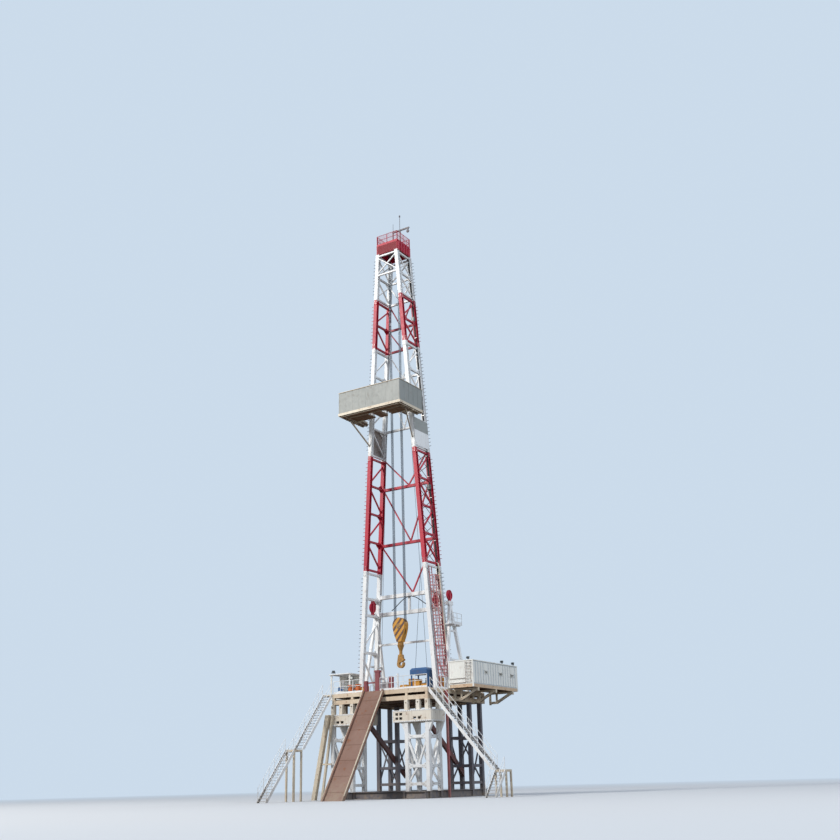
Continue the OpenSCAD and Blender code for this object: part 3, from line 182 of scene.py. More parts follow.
@dataclass(frozen=True)
class Paint:
    """Brushed or sprayed paint on steel that has stood outdoors."""

    name: str
    coat: Colour
    chalked: Colour
    stain: Colour = (0.23, 0.16, 0.11)
    stained: float = 0.35
    rust: Colour = (0.26, 0.10, 0.045)
    rusted: float = 0.5
    # shadowed, weighed by underside_shade: painted shade, dark brown, on faces that look down.
    shadowed: Colour = (0.10, 0.06, 0.045)
    underside_shade: float = 0.3
    gloss: float = 0.42
    mud: Colour = (0.34, 0.28, 0.21)
    mud_line: float = 1.1

    def build(self) -> Shader:
        """Returns the shader with the paint's fading, runs, rust spots, mud near the ground and painted shade on
        faces that look down.
        """
        shade = Shader(self.name)
        cloud = shade.ramp(shade.noise(0.7, 4), 0.35, 0.65)
        tone = shade.mix(cloud, self.coat, self.chalked)
        tone = self.pattern(shade, tone)
        runs = shade.ramp(shade.noise(2.2, 5, (7, 7, 0.5)), 0.56, 0.80, self.stained)
        tone = shade.mix(runs, tone, self.stain)
        specks = shade.noise(6.0, 8)
        edge = shade.ramp(specks, 0.60, 0.70, self.rusted)
        tone = shade.mix(edge, tone, self.rust)
        # Painted shade: faces that look down turn towards the shadowed colour, in patches.
        below = shade.ramp(shade.axis(shade.facing, "Z"), -0.2, -0.9, self.underside_shade)
        patches = shade.ramp(shade.noise(1.6, 4), 0.1, 0.4)
        tone = shade.mix(shade.sum_up("MULTIPLY", below, patches), tone, self.shadowed)
        splash = shade.ramp(shade.axis(shade.where, "Z"), self.mud_line, 0.0, 0.55)
        tone = shade.mix(shade.sum_up("MULTIPLY", splash, shade.ramp(specks, 0.3, 0.6)), tone, self.mud)
        shade.colour(tone)
        shade.roughness(shade.sum_up("ADD", shade.ramp(shade.noise(11, 3), 0.2, 0.8, 0.16),
                                     shade.sum_up("ADD", edge, self.gloss)))
        self.relief(shade)
        return shade

    def pattern(self, shade: Shader, tone: Any) -> Any:
        """Returns the tone with whatever is painted on it."""
        return tone

    def relief(self, shade: Shader) -> None:
        """Gives the coat its brush marks and pits."""
        shade.bump(shade.noise(38, 4), 0.22, 0.004)


@dataclass(frozen=True)
class StripedPaint(Paint):
    """Paint with slanting warning stripes on the faces that look along Y."""

    stripe: Colour = (0.10, 0.045, 0.03)
    spacing: float = 0.235
    slope: float = 0.72

    def pattern(self, shade: Shader, tone: Any) -> Any:
        """Returns the tone crossed by the stripes."""
        bands = shade.wave(math.pi / 10 / self.spacing, (1, 1, 1), (0, -self.slope, 0))
        line = shade.ramp(bands, 0.56, 0.60)
        side = shade.ramp(shade.sum_up("ABSOLUTE", shade.axis(shade.facing, "Y"), 0.0), 0.75, 0.8)
        return shade.mix(shade.sum_up("MULTIPLY", line, side), tone, self.stripe)


@dataclass(frozen=True)
class BandedPaint(Paint):
    """Paint that changes colour between two heights above the ground."""

    band: Colour = (0.36, 0.02, 0.05)
    bottom: float = 21.55
    top: float = 24.20

    def pattern(self, shade: Shader, tone: Any) -> Any:
        """Returns the tone with the band across it."""
        height = shade.axis(shade.where, "Z")
        above = shade.ramp(height, self.bottom - 0.01, self.bottom + 0.01)
        below = shade.ramp(height, self.top + 0.01, self.top - 0.01)
        return shade.mix(shade.sum_up("MULTIPLY", above, below), tone, self.band)


@dataclass(frozen=True)
class FramePaint(Paint):
    """Paint on a frame whose inner faces carry painted shade in dark brown."""

    inner_shade: Colour = (0.13, 0.07, 0.05)
    low: tuple[float, float] = (-2.44, -1.74)
    high: tuple[float, float] = (2.44, 2.60)

    def pattern(self, shade: Shader, tone: Any) -> Any:
        """Returns the tone with painted shade, dark brown, between the frame's four outer faces."""
        share = 1.0
        for letter, low, high in zip("XY", self.low, self.high):
            place = shade.axis(shade.where, letter)
            for start, end in ((low - 0.03, low), (high + 0.03, high)):
                share = shade.sum_up("MULTIPLY", shade.ramp(place, start, end), share)
        level = shade.ramp(shade.axis(shade.facing, "Z"), 0.9, 0.5)
        share = shade.sum_up("MULTIPLY", share, level)
        # Painted shade: inner faces that don't look up go dark brown, in patches.
        patches = shade.ramp(shade.noise(1.3, 4), 0.05, 0.4, 0.95)
        return shade.mix(shade.sum_up("MULTIPLY", share, patches), tone, self.inner_shade)


@dataclass(frozen=True)
class GratedPaint(Paint):
    """Paint or zinc on plate with a raised pattern of small bars."""

    pitch: float = 0.05
    slant: float = 0.785

    def relief(self, shade: Shader) -> None:
        """Raises crossed bars on the plate."""
        scale = math.pi / 10 / self.pitch
        crossed = shade.sum_up("MULTIPLY", shade.wave(scale, (1, 1, 1), (0, 0, self.slant)),
                               shade.wave(scale, (1, 1, 1), (0, 0, -self.slant)))
        shade.bump(crossed, 0.5, 0.006)


@dataclass(frozen=True)
class RibbedPaint(Paint):
    """Paint on walls whose outer face, towards +X, lies in shade between ribs."""

    groove: Colour = (0.50, 0.56, 0.60)

    def pattern(self, shade: Shader, tone: Any) -> Any:
        """Returns the tone, darker on the face between the ribs."""
        return shade.mix(shade.ramp(shade.axis(shade.facing, "X"), 0.6, 0.9, 0.8), tone, self.groove)


@dataclass(frozen=True)
class WireRope:
    """Greased steel wire rope, its strands laid round it."""

    name: str = "greased wire rope"
    colour: Colour = (0.03, 0.05, 0.08)
    crest: Colour = (0.075, 0.10, 0.135)
    grease: Colour = (0.07, 0.055, 0.04)

    def build(self) -> Shader:
        """Returns the shader with fine slanting strands."""
        shade = Shader(self.name)
        strands = shade.wave(22, (1, 1, 0.45), (0.6, 0.5, 0))
        tone = shade.mix(shade.ramp(strands, 0.2, 0.8), self.colour, self.crest)
        shade.colour(shade.mix(shade.ramp(shade.noise(2, 3), 0.5, 0.75, 0.5), tone, self.grease))
        shade.surface.inputs["Metallic"].default_value = 0.25
        shade.roughness(shade.ramp(shade.noise(5, 2), 0.2, 0.9, 0.7))
        shade.bump(strands, 0.6, 0.003)
        return shade


@dataclass(frozen=True)
class PlainFinish:
    """Rubber, lamp glass and other small parts in one lightly mottled tone."""

    name: str
    tone: Colour
    mottle: Colour
    rough: float
    metal: float = 0.0

    def build(self) -> Shader:
        """Returns the shader."""
        shade = Shader(self.name)
        shade.colour(shade.mix(shade.ramp(shade.noise(9, 5), 0.35, 0.7), self.tone, self.mottle))
        shade.surface.inputs["Metallic"].default_value = self.metal
        shade.surface.inputs["Roughness"].default_value = self.rough
        shade.bump(shade.noise(60, 3), 0.12, 0.003)
        return shade


class Finish(Enum):
    """Every finish on the rig."""

    WHITE = Paint("white mast paint", (0.90, 0.92, 0.93), (0.79, 0.81, 0.83), rusted=0.28, stained=0.26)
    BANDED = BandedPaint("banded bracing paint", (0.90, 0.92, 0.93), (0.79, 0.81, 0.83), rusted=0.28,
                         stained=0.26)
    CREAM = Paint("cream floor paint", (0.74, 0.67, 0.54), (0.62, 0.53, 0.41), rusted=0.45, underside_shade=0.95)
    GIRDER = Paint("stained girder paint", (0.84, 0.81, 0.74), (0.70, 0.62, 0.51), rusted=0.55, stained=0.6)
    UNDERFLOOR = FramePaint("cream frame paint, painted shade inside", (0.76, 0.65, 0.50), (0.62, 0.48, 0.35),
                            rusted=0.6, underside_shade=1.0)
    UNDERCABIN = FramePaint("cream cabin frame paint, painted shade inside", (0.72, 0.55, 0.38), (0.56, 0.38, 0.24),
                            rusted=0.6,
                            underside_shade=1.0, low=(2.66, 0.04), high=(3.72, 4.00))
    PANEL = Paint("pale wall paint", (0.29, 0.31, 0.30), (0.25, 0.27, 0.26), stained=0.25, rusted=0.15)
    CABIN = Paint("off-white cabin paint", (0.90, 0.91, 0.87), (0.84, 0.85, 0.82), stained=0.22, rusted=0.15)
    RIBBED = RibbedPaint("off-white wall paint, shaded between ribs", (0.90, 0.91, 0.87), (0.84, 0.85, 0.82),
                         stained=0.22, rusted=0.15)
    CRIMSON = Paint("crimson mast paint", (0.50, 0.003, 0.030), (0.41, 0.011, 0.042), rusted=0.12,
                    stained=0.08)
    SHEET = Paint("weathered grey-brown sheet", (0.40, 0.35, 0.31), (0.30, 0.27, 0.26), rusted=0.5,
                  stained=0.6)
    ROSE = Paint("faded red rail paint", (0.45, 0.08, 0.10), (0.45, 0.20, 0.19), rusted=0.25, stained=0.2)
    RUSTY = Paint("weathered brown plate", (0.20, 0.105, 0.075), (0.26, 0.155, 0.12), rusted=0.6, gloss=0.6)
    BOARD = Paint("brown board floor", (0.20, 0.11, 0.06), (0.27, 0.17, 0.10), rusted=0.6, gloss=0.6)
    DARK = Paint("dark grey steel paint", (0.105, 0.10, 0.125), (0.15, 0.14, 0.16), rusted=0.4)
    BRACE = Paint("dark red-brown paint", (0.13, 0.045, 0.045), (0.18, 0.08, 0.07), rusted=0.5)
    MAROON = Paint("maroon paint", (0.20, 0.03, 0.045), (0.26, 0.07, 0.08), rusted=0.3)
    # Painted shade: the darker red of the plate on the crown's front face.
    CROWN = Paint("deep red painted crown shade", (0.22, 0.003, 0.012), (0.18, 0.006, 0.016), rusted=0.1,
                  stained=0.05, gloss=0.6)
    AMBER = Paint("amber machine paint", (0.62, 0.28, 0.02), (0.52, 0.25, 0.035), rusted=0.3, stained=0.45)
    STRIPED = StripedPaint("striped amber block paint", (0.66, 0.31, 0.02), (0.58, 0.27, 0.03), rusted=0.2)
    GOLD = Paint("dark gold hook paint", (0.42, 0.22, 0.03), (0.34, 0.18, 0.05), rusted=0.4, stained=0.5)
    BLUE = Paint("blue cabin paint", (0.012, 0.075, 0.22), (0.025, 0.11, 0.27), rusted=0.15, stained=0.2)
    TREAD = GratedPaint("worn stair tread steel", (0.22, 0.21, 0.21), (0.32, 0.30, 0.28), rusted=0.5)
    ORANGE = Paint("orange tool paint", (0.62, 0.13, 0.02), (0.54, 0.16, 0.04), rusted=0.4)
    ROPE = WireRope()
    RUBBER = PlainFinish("black rubber hose", (0.02, 0.02, 0.022), (0.045, 0.04, 0.038), 0.55)
    LAMP = PlainFinish("lamp housing grey", (0.05, 0.06, 0.06), (0.10, 0.10, 0.10), 0.4, 0.3)
    LENS = PlainFinish("frosted lamp lens", (0.75, 0.78, 0.74), (0.62, 0.66, 0.62), 0.12)
    ZINC = PlainFinish("zinc-plated fastener", (0.42, 0.42, 0.43), (0.28, 0.26, 0.24), 0.42, 0.75)

    def material(self) -> bpy.types.Material:
        """Returns this finish's material, made once."""
        name = self.value.name
        return bpy.data.materials.get(name) or self.value.build().material


NODE_FINISH: dict[Finish, tuple[str, ...]] = {
    Finish.GIRDER: ("service_boxes",),
    Finish.UNDERFLOOR: ("floor_beams", "floor_deck"),
    Finish.UNDERCABIN: ("side_cabin_floor",),
    Finish.WHITE: ("front_towers", "control_stand", "floor_railings", "stair_sides", "mast_sides_1",
                   "mast_sides_3", "mast_sides_5",
                   "mast_back_1", "mast_top_bracing", "mast_panels", "raising_frame",
                   "frame_platform", "shelter_roof"),
    Finish.BANDED: ("mast_back_3",),
    Finish.CREAM: ("raking_columns", "stair_landings", "cabin_brackets", "standpipe", "racking_struts"),
    Finish.PANEL: ("racking_walls",),
    Finish.RIBBED: ("side_cabin_walls",),
    Finish.CABIN: ("side_cabin_roof", "left_shelter"),
    Finish.CRIMSON: ("sheave_forks", "mast_sides_2", "mast_sides_4", "mast_back_2", "crown_beams",
                     "crown_rails", "mast_sheave_left",
                     "mast_sheave_right", "frame_sheave_left", "frame_sheave_right"),
    Finish.ROSE: ("mast_ladder", "cabin_post"),
    Finish.RUSTY: ("pipe_ramp",),
    Finish.BOARD: ("racking_floor",),
    Finish.DARK: ("base_skids", "base_spreaders", "rear_towers", "mast_shoes",
                  "crown_sheaves", "gin_pole"),
    Finish.BRACE: ("side_braces",),
    Finish.MAROON: ("rotary_table", "v_door_posts"),
    Finish.AMBER: ("drawworks", "tool_chests"),
    Finish.STRIPED: ("travelling_block",),
    Finish.GOLD: ("hook",),
    Finish.BLUE: ("drillers_cabin",),
    Finish.TREAD: ("stair_treads",),
    Finish.ROPE: ("drilling_lines",),
}


class Steelwork:
    """Plates, bars and tubes that are gathered into one mesh."""

    def __init__(self) -> None:
        """Starts with nothing."""
        self.mesh = bmesh.new()

    def block(self, low: Place, high: Place) -> None:
        """Adds a box between two opposite corners."""
        middle = (Vector(low) + Vector(high)) / 2
        size = Vector(high) - Vector(low)
        bmesh.ops.create_cube(self.mesh, size=1.0,
                              matrix=Matrix.Translation(middle) @ Matrix.Diagonal((*size, 1.0)))

    def bar(self, start: Place, end: Place, width: float, height: float, up: Place = (0, 0, 1)) -> None:
        """Adds a square or flat bar from start to end.

        Args:
            start: Middle of its first end.
            end: Middle of its last end.
            width: Size across, square to up.
            height: Size along up.
            up: The way that its height is turned towards.
        """
        start, end = Vector(start), Vector(end)
        along = (end - start).normalized()
        side = along.cross(Vector(up)).normalized()
        top = side.cross(along)
        turn = Matrix((side, top, along)).transposed().to_4x4()
        placed = Matrix.Translation((start + end) / 2) @ turn
        bmesh.ops.create_cube(self.mesh, size=1.0, matrix=placed @ Matrix.Diagonal(
            (width, height, (end - start).length, 1.0)))

    def drum(self, start: Place, end: Place, radius: float, sides: int = 20,
             end_radius: float | None = None) -> None:
        """Adds a cylinder or cone from start to end."""
        start, end = Vector(start), Vector(end)
        turn = (end - start).to_track_quat("Z", "Y").to_matrix().to_4x4()
        bmesh.ops.create_cone(self.mesh, cap_ends=True, segments=sides, radius1=radius,
                              radius2=radius if end_radius is None else end_radius,
                              depth=(end - start).length, matrix=Matrix.Translation((start + end) / 2) @ turn)

    def plate(self, outline: Sequence[Place], thickness: Place) -> None:
        """Adds a flat plate: its outline, pushed out along thickness."""
        shift = Vector(thickness)
        near = [self.mesh.verts.new(Vector(p)) for p in outline]
        far = [self.mesh.verts.new(Vector(p) + shift) for p in outline]
        self.mesh.faces.new(near)
        self.mesh.faces.new(far)
        for i in range(len(near)):
            j = (i + 1) % len(near)
            self.mesh.faces.new((near[i], near[j], far[j], far[i]))

    def item(self, name: str, finish: Finish) -> bpy.types.Object:
        """Returns what was gathered as one object in its finish."""
        bmesh.ops.recalc_face_normals(self.mesh, faces=self.mesh.faces)
        data = bpy.data.meshes.new(name)
        self.mesh.to_mesh(data)
        self.mesh.free()
        data.materials.append(finish.material())
        return show(name, data)

    def piece(self, name: str, finish: Finish, body: Body = Body.RIG, bevel: float = 0.0) -> bpy.types.Object:
        """Turns what was gathered into a piece of the rig.

        Args:
            name: The piece's name.
            finish: What it is finished with.
            body: The body that it rides on.
            bevel: Width of its rounded edges, or 0 for none.

        Returns:
            The new object.
        """
        item = self.item(name, finish)
        if bevel:
            round_edges(item, bevel)
        return mount_piece(item, body)


def round_edges(item: bpy.types.Object, width: float) -> None:
    """Gives a piece a bevel of one step, with flat faces kept flat."""
    bevel = item.modifiers.new("edges", "BEVEL")
    bevel.width, bevel.segments, bevel.limit_method = width, 1, "ANGLE"


def mount_piece(item: bpy.types.Object, body: Body) -> bpy.types.Object:
    """Makes a piece ride on its body, then reports it."""
    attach(item, body.value)
    LOG.info("%-24s %6d faces on %s", item.name, len(item.data.polygons), body.value)
    return item


class Recipe:
    """A Geometry Nodes tree that grows a piece from points or lines."""

    def __init__(self, name: str) -> None:
        """Starts a tree that takes and gives geometry.

        Args:
            name: The tree's name.
        """
        self.tree = bpy.data.node_groups.new(name, "GeometryNodeTree")
        for way in ("INPUT", "OUTPUT"):
            self.tree.interface.new_socket("Geometry", in_out=way, socket_type="NodeSocketGeometry")
        self.finish = self.tree.interface.new_socket("Finish", in_out="INPUT",
                                                     socket_type="NodeSocketMaterial")
        self.keys: dict[str, str] = {"Finish": self.finish.identifier}
        self.given = self.tree.nodes.new("NodeGroupInput")
        self.result = self.tree.nodes.new("NodeGroupOutput")

    def size(self, name: str, kind: str, value: Any) -> Any:
        """Adds a named input and returns the socket that gives it."""
        socket = self.tree.interface.new_socket(name, in_out="INPUT", socket_type=f"NodeSocket{kind}")
        socket.default_value = value
        self.keys[name] = socket.identifier
        return self.given.outputs[name]

    def add(self, kind: str, settings: dict[str, Any] | None = None,
            inputs: dict[Any, Any] | None = None) -> Any:
        """Adds a node with these settings and inputs and returns it."""
        return add_node(self.tree, kind, settings, inputs)

    def close(self, geometry: Any) -> None:
        """Ends the tree with plain geometry in its finish."""
        real = self.add("GeometryNodeRealizeInstances", {}, {"Geometry": geometry})
        dressed = self.add("GeometryNodeSetMaterial", {}, {"Geometry": real.outputs[0],
                                                           "Material": self.given.outputs["Finish"]})
        self.tree.links.new(dressed.outputs[0], self.result.inputs["Geometry"])

    def grow(self, name: str, seed: bpy.types.Mesh, finish: Finish, body: Body = Body.RIG,
             **sizes: Any) -> bpy.types.Object:
        """Grows a piece and turns it into a plain mesh.

        Args:
            name: The piece's name.
            seed: The points or lines that it grows from.
            finish: What it is finished with.
            body: The body that it rides on.
            sizes: The tree's inputs by name.

        Returns:
            The new object.
        """
        item = show(name, seed)
        grower = item.modifiers.new("recipe", "NODES")
        grower.node_group = self.tree
        grower[self.keys["Finish"]] = finish.material()
        for key, value in sizes.items():
            grower[self.keys[key]] = value
        seen = item.evaluated_get(bpy.context.evaluated_depsgraph_get())
        grown = bpy.data.meshes.new_from_object(seen)
        item.modifiers.remove(grower)
        item.data = grown
        grown.name = name
        bpy.data.meshes.remove(seed)
        return mount_piece(item, body)


def points(places: Iterable[Place], aims: Iterable[Place]) -> bpy.types.Mesh:
    """Returns a mesh of loose points, each with the way that it aims."""
    data = bpy.data.meshes.new("points")
    data.from_pydata([tuple(p) for p in places], [], [])
    attribute = data.attributes.new("aim", "FLOAT_VECTOR", "POINT")
    attribute.data.foreach_set("vector", [c for aim in aims for c in aim])
    return data


def lines(pairs: Iterable[tuple[Place, Place]], aim: Place = (0, 0, 1)) -> bpy.types.Mesh:
    """Returns a mesh of straight lines that share one aim."""
    ends = [tuple(p) for pair in pairs for p in pair]
    data = bpy.data.meshes.new("lines")
    data.from_pydata(ends, [(i, i + 1) for i in range(0, len(ends), 2)], [])
    attribute = data.attributes.new("aim", "FLOAT_VECTOR", "POINT")
    attribute.data.foreach_set("vector", [c for _ in ends for c in aim])
    return data


def paths(routes: Iterable[Sequence[Place]]) -> bpy.types.Mesh:
    """Returns a mesh of bent lines, each through its own points."""
    ends, edges = [], []
    for route in routes:
        edges += [(len(ends) + i, len(ends) + i + 1) for i in range(len(route) - 1)]
        ends += [tuple(p) for p in route]
    data = bpy.data.meshes.new("paths")
    data.from_pydata(ends, edges, [])
    return data


def tube_recipe() -> Recipe:
    """Returns the tree that makes a round tube along every line."""
    recipe = Recipe("tubes along lines")
    radius = recipe.size("Radius", "Float", 0.01)
    sides = recipe.size("Sides", "Int", 8)
    curve = recipe.add("GeometryNodeMeshToCurve", {}, {"Mesh": recipe.given.outputs["Geometry"]})
    ring = recipe.add("GeometryNodeCurvePrimitiveCircle", {}, {"Radius": radius, "Resolution": sides})
    tube = recipe.add("GeometryNodeCurveToMesh", {},
                      {"Curve": curve.outputs[0], "Profile Curve": ring.outputs[0],
                                                      "Fill Caps": True})
    recipe.close(tube.outputs[0])
    return recipe


def stud_recipe() -> Recipe:
    """Returns the tree that stands a stud or bolt head on every point, along its aim."""
    recipe = Recipe("studs on points")
    radius = recipe.size("Radius", "Float", 0.01)
    height = recipe.size("Height", "Float", 0.01)
    sides = recipe.size("Sides", "Int", 6)
    stud = recipe.add("GeometryNodeMeshCylinder", {}, {"Vertices": sides, "Radius": radius, "Depth": height})
    half = recipe.add("ShaderNodeMath", {"operation": "MULTIPLY"}, {0: height, 1: 0.5})
    lift = recipe.add("ShaderNodeCombineXYZ", {}, {"Z": half.outputs[0]})
    raised = recipe.add("GeometryNodeTransform", {},
                        {"Geometry": stud.outputs[0], "Translation": lift.outputs[0]})
    aim = recipe.add("GeometryNodeInputNamedAttribute", {"data_type": "FLOAT_VECTOR"}, {"Name": "aim"})
    turn = recipe.add("FunctionNodeAlignRotationToVector", {"axis": "Z"}, {"Vector": aim.outputs[0]})
    placed = recipe.add("GeometryNodeInstanceOnPoints", {}, {
        "Points": recipe.given.outputs["Geometry"], "Instance": raised.outputs[0],
                                                             "Rotation": turn.outputs[0]})
    recipe.close(placed.outputs[0])
    return recipe


def rib_recipe() -> Recipe:
    """Returns the tree that repeats a block along every line, square to the rig."""
    recipe = Recipe("ribs along lines")
    spacing = recipe.size("Spacing", "Float", 0.1)
    size = recipe.size("Size", "Vector", (0.02, 0.02, 1.0))
    curve = recipe.add("GeometryNodeMeshToCurve", {}, {"Mesh": recipe.given.outputs["Geometry"]})
    spaced = recipe.add("GeometryNodeResampleCurve", {"mode": "LENGTH"},
                        {"Curve": curve.outputs[0], "Length": spacing})
    rib = recipe.add("GeometryNodeMeshCube", {}, {"Size": size})
    placed = recipe.add("GeometryNodeInstanceOnPoints", {},
                        {"Points": spaced.outputs[0], "Instance": rib.outputs[0]})
    recipe.close(placed.outputs[0])
    return recipe


@dataclass
class Workshop:
    """The trees that every sub-assembly shares."""

    tubes: Recipe
    studs: Recipe
    ribs: Recipe


@dataclass(frozen=True)
class Mast:
    """Where the mast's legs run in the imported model."""

    floor: float = 4.5
    height: float = 22.25
    half_foot: float = 2.05
    half_top: float = 0.575
    depth: float = 1.15
    lean: float = 0.3
    leg: float = 0.19
    joints: tuple[float, ...] = (5.75, 11.40, 17.05, 19.70)
    bays: tuple[int, ...] = (0, 4, 4, 2, 2)
    foot_girt: float = 1.95
    joint_girts: tuple[float, float] = (2.06, 1.28)

    def at(self, up: float, side: float, face: float) -> Vector:
        """Returns a point on a leg's middle line.

        Args:
            up: Height above the drill floor.
            side: -1 for the left legs, 1 for the right ones.
            face: -1 for the front legs, 1 for the rear ones.

        Returns:
            The point.
        """
        share = up / self.height
        return Vector((side * (self.half_foot + (self.half_top - self.half_foot) * share),
                       self.lean * (1 - share) + face * self.depth / 2, self.floor + up))

    def sections(self) -> list[tuple[float, float, Finish]]:
        """Returns each painted section's lower end, upper end and finish."""
        ends = (0.0, *self.joints, self.height)
        tones = (Finish.WHITE, Finish.CRIMSON, Finish.WHITE, Finish.CRIMSON, Finish.WHITE)
        return list(zip(ends, ends[1:], tones))

    def levels(self, index: int) -> list[float]:
        """Returns the heights of the side girts of one section."""
        low, high, _ = self.sections()[index]
        bays = self.bays[index]
        if not bays:
            return [low + self.foot_girt, *(high - drop for drop in self.joint_girts)]
        return [low + (high - low) * i / bays for i in range(1, bays)]


def steps(low: float, high: float, spacing: float) -> list[float]:
    """Returns evenly spaced values from low to high, both included."""
    count = max(1, round((high - low) / spacing))
    return [low + (high - low) * i / count for i in range(count + 1)]


@dataclass
class MastFittings:
    """Step pegs, gussets, splice plates, panel sheets, lacing and cables on the mast."""

    mast: Mast
    shop: Workshop
    peg_spacing: float = 0.19
    peg: float = 0.013
    peg_reach: float = 0.115
    splice: float = 0.52
    plate: float = 0.012
    bolt: float = 0.016
    gusset_reach: float = 0.24
    gusset_rise: float = 0.19
    cable: float = 0.014
    boxes_at: tuple[float, ...] = (1.3, 5.2, 9.6, 14.2, 18.6)

    def build(self) -> None:
        """Makes everything on the mast."""
        for index, (low, high, tone) in enumerate(self.mast.sections(), 1):
            self.pegs(index, low, high, Finish.CRIMSON if tone is Finish.CRIMSON else Finish.DARK)
            self.gussets(index, tone)
        self.splices()
        self.sheets()
        self.lacing()
        self.conduit()

    def pegs(self, index: int, low: float, high: float, tone: Finish) -> None:
        """Stands climbing pegs on the outer edges of two legs of a section."""
        places, aims = [], []
        for side, face in ((-1, -1), (1, 1)):
            for up in steps(low + 0.35, high - 0.35, self.peg_spacing):
                places.append(self.mast.at(up, side,
                                           face) + Vector((side * self.mast.leg * 0.49,
                                                           face * self.mast.leg * 0.38, 0)))
                aims.append((side, 0, 0))
        self.shop.studs.grow(f"step_pegs_{index}", points(places, aims), tone,
                             Radius=self.peg, Height=self.peg_reach, Sides=6)

    def gussets(self, index: int, tone: Finish) -> None:
        """Bolts a plate over the joint of each side girt with its legs."""
        steel, places, aims = Steelwork(), [], []
        reach, rise, inset = self.gusset_reach, self.gusset_rise, self.mast.leg * 0.5
        for up in self.mast.levels(index - 1):
            for side in (-1, 1):
                for face in (-1, 1):
                    root = self.mast.at(up, side, face) + Vector((side * 0.046, -face * inset, 0))
                    slant = self.mast.at(up + rise, side, face) - self.mast.at(up, side, face)
                    steel.plate([root - slant, root + slant, root + Vector((0, -face * reach, 0.045)),
                                 root + Vector((0, -face * reach, -0.045))], (side * self.plate, 0, 0))
                    for away, lift in ((0.05, 0.4), (0.05, -0.4), (0.12, 0.0), (0.19, 0.0)):
                        places.append(root + slant * lift + Vector((side * self.plate, -face * away, 0)))
                        aims.append((side, 0, 0))
        steel.piece(f"gusset_plates_{index}", tone)
        self.shop.studs.grow(f"gusset_bolts_{index}", points(places, aims), Finish.ZINC,
                             Radius=self.bolt, Height=0.014, Sides=6)

    def splices(self) -> None:
        """Covers each field joint of each leg with bolted plates, half in each section's paint."""
        places, aims = [], []
        out, sections = self.mast.leg / 2 + 0.004, self.mast.sections()
        for index, up in enumerate(self.mast.joints):
            for half, reach in enumerate((-self.splice / 2, self.splice / 2)):
                steel = Steelwork()
                for side in (-1, 1):
                    for face in (-1, 1):
                        for way in (Vector((side, 0, 0)), Vector((0, face, 0))):
                            start = self.mast.at(up, side, face) + way * out
                            end = self.mast.at(up + reach, side, face) + way * out
                            steel.bar(start, end, self.mast.leg * 0.86, 0.022, way)
                            across = (end - start).normalized().cross(way) * 0.05
                            for share in (0.24, 0.52, 0.8):
                                for row in (-1, 1):
                                    places.append(start.lerp(end, share) + across * row + way * 0.010)
                                    aims.append(way)
                steel.piece(f"leg_splice_plates_{index + 1}_{half + 1}", sections[index + half][2],
                            bevel=0.004)
        self.shop.studs.grow("leg_splice_bolts", points(places, aims), Finish.ZINC,
                             Radius=self.bolt, Height=0.016, Sides=6)

    def sheets(self) -> None:
        """Lays weathered sheets on the plated panels under the racking board, outside and inside."""
        half = self.mast.leg / 2
        for name, side, low, high, tone in (("left", -1, 11.56, 12.95, Finish.SHEET),
                                            ("right", 1, 12.32, 12.95, Finish.PANEL)):
            steel = Steelwork()
            for out, edge in ((half + 0.0215, 0.05), (half - 0.006, -half - 0.012)):
                corners = [self.mast.at(up, side, face) + Vector((side * out, face * edge, 0))
                           for up, face in ((low, -1), (low, 1), (high, 1), (high, -1))]
                steel.plate(corners, (side * 0.004, 0, 0))
            steel.piece(f"panel_sheet_{name}", tone)

    def lacing(self) -> None:
        """Crosses fine bars over the right side of the second section."""
        low, high, _ = self.mast.sections()[1]
        steel = Steelwork()
        levels = steps(low + 0.12, high - 0.12, 0.62)
        for start, end in zip(levels, levels[1:]):
            for first, last in ((-1, 1), (1, -1)):
                a = self.mast.at(start, 1, first * 0.83) + Vector((-0.062 - 0.012 * first, 0, 0))
                b = self.mast.at(end, 1, last * 0.83) + Vector((-0.062 - 0.012 * first, 0, 0))
                steel.bar(a, b, 0.03, 0.01, (1, 0, 0))
        steel.piece("side_lacing", Finish.BRACE)

    def conduit(self) -> None:
        """Runs three cables up the right rear leg, with clamps and boxes."""
        offset = Vector((0.02, -self.mast.leg / 2 - 0.025, 0))
        tubes, clamps, boxes = [], Steelwork(), Steelwork()
        for row in (-1, 0, 1):
            shift = offset + Vector((row * 0.034, 0, 0))
            tubes.append((self.mast.at(0.25, 1, 1) + shift, self.mast.at(22.1, 1, 1) + shift))
        self.shop.tubes.grow("mast_cables", lines(tubes), Finish.RUBBER, Radius=self.cable, Sides=8)
        for up in steps(0.6, 21.8, 1.06):
            middle = self.mast.at(up, 1, 1) + offset
            clamps.block(middle - Vector((0.065, 0.019, 0.015)), middle + Vector((0.065, 0.027, 0.015)))
        clamps.piece("cable_clamps", Finish.ZINC)
        for up in self.boxes_at:
            middle = self.mast.at(up, 1, 1) + Vector((0, -self.mast.leg / 2 - 0.07, 0))
            boxes.block(middle - Vector((0.09, 0.055, 0.12)), middle + Vector((0.09, 0.072, 0.12)))
            boxes.block(middle - Vector((0.075, 0.066, 0.10)), middle + Vector((0.075, -0.05, 0.10)))
        boxes.piece("junction_boxes", Finish.LAMP, bevel=0.006)


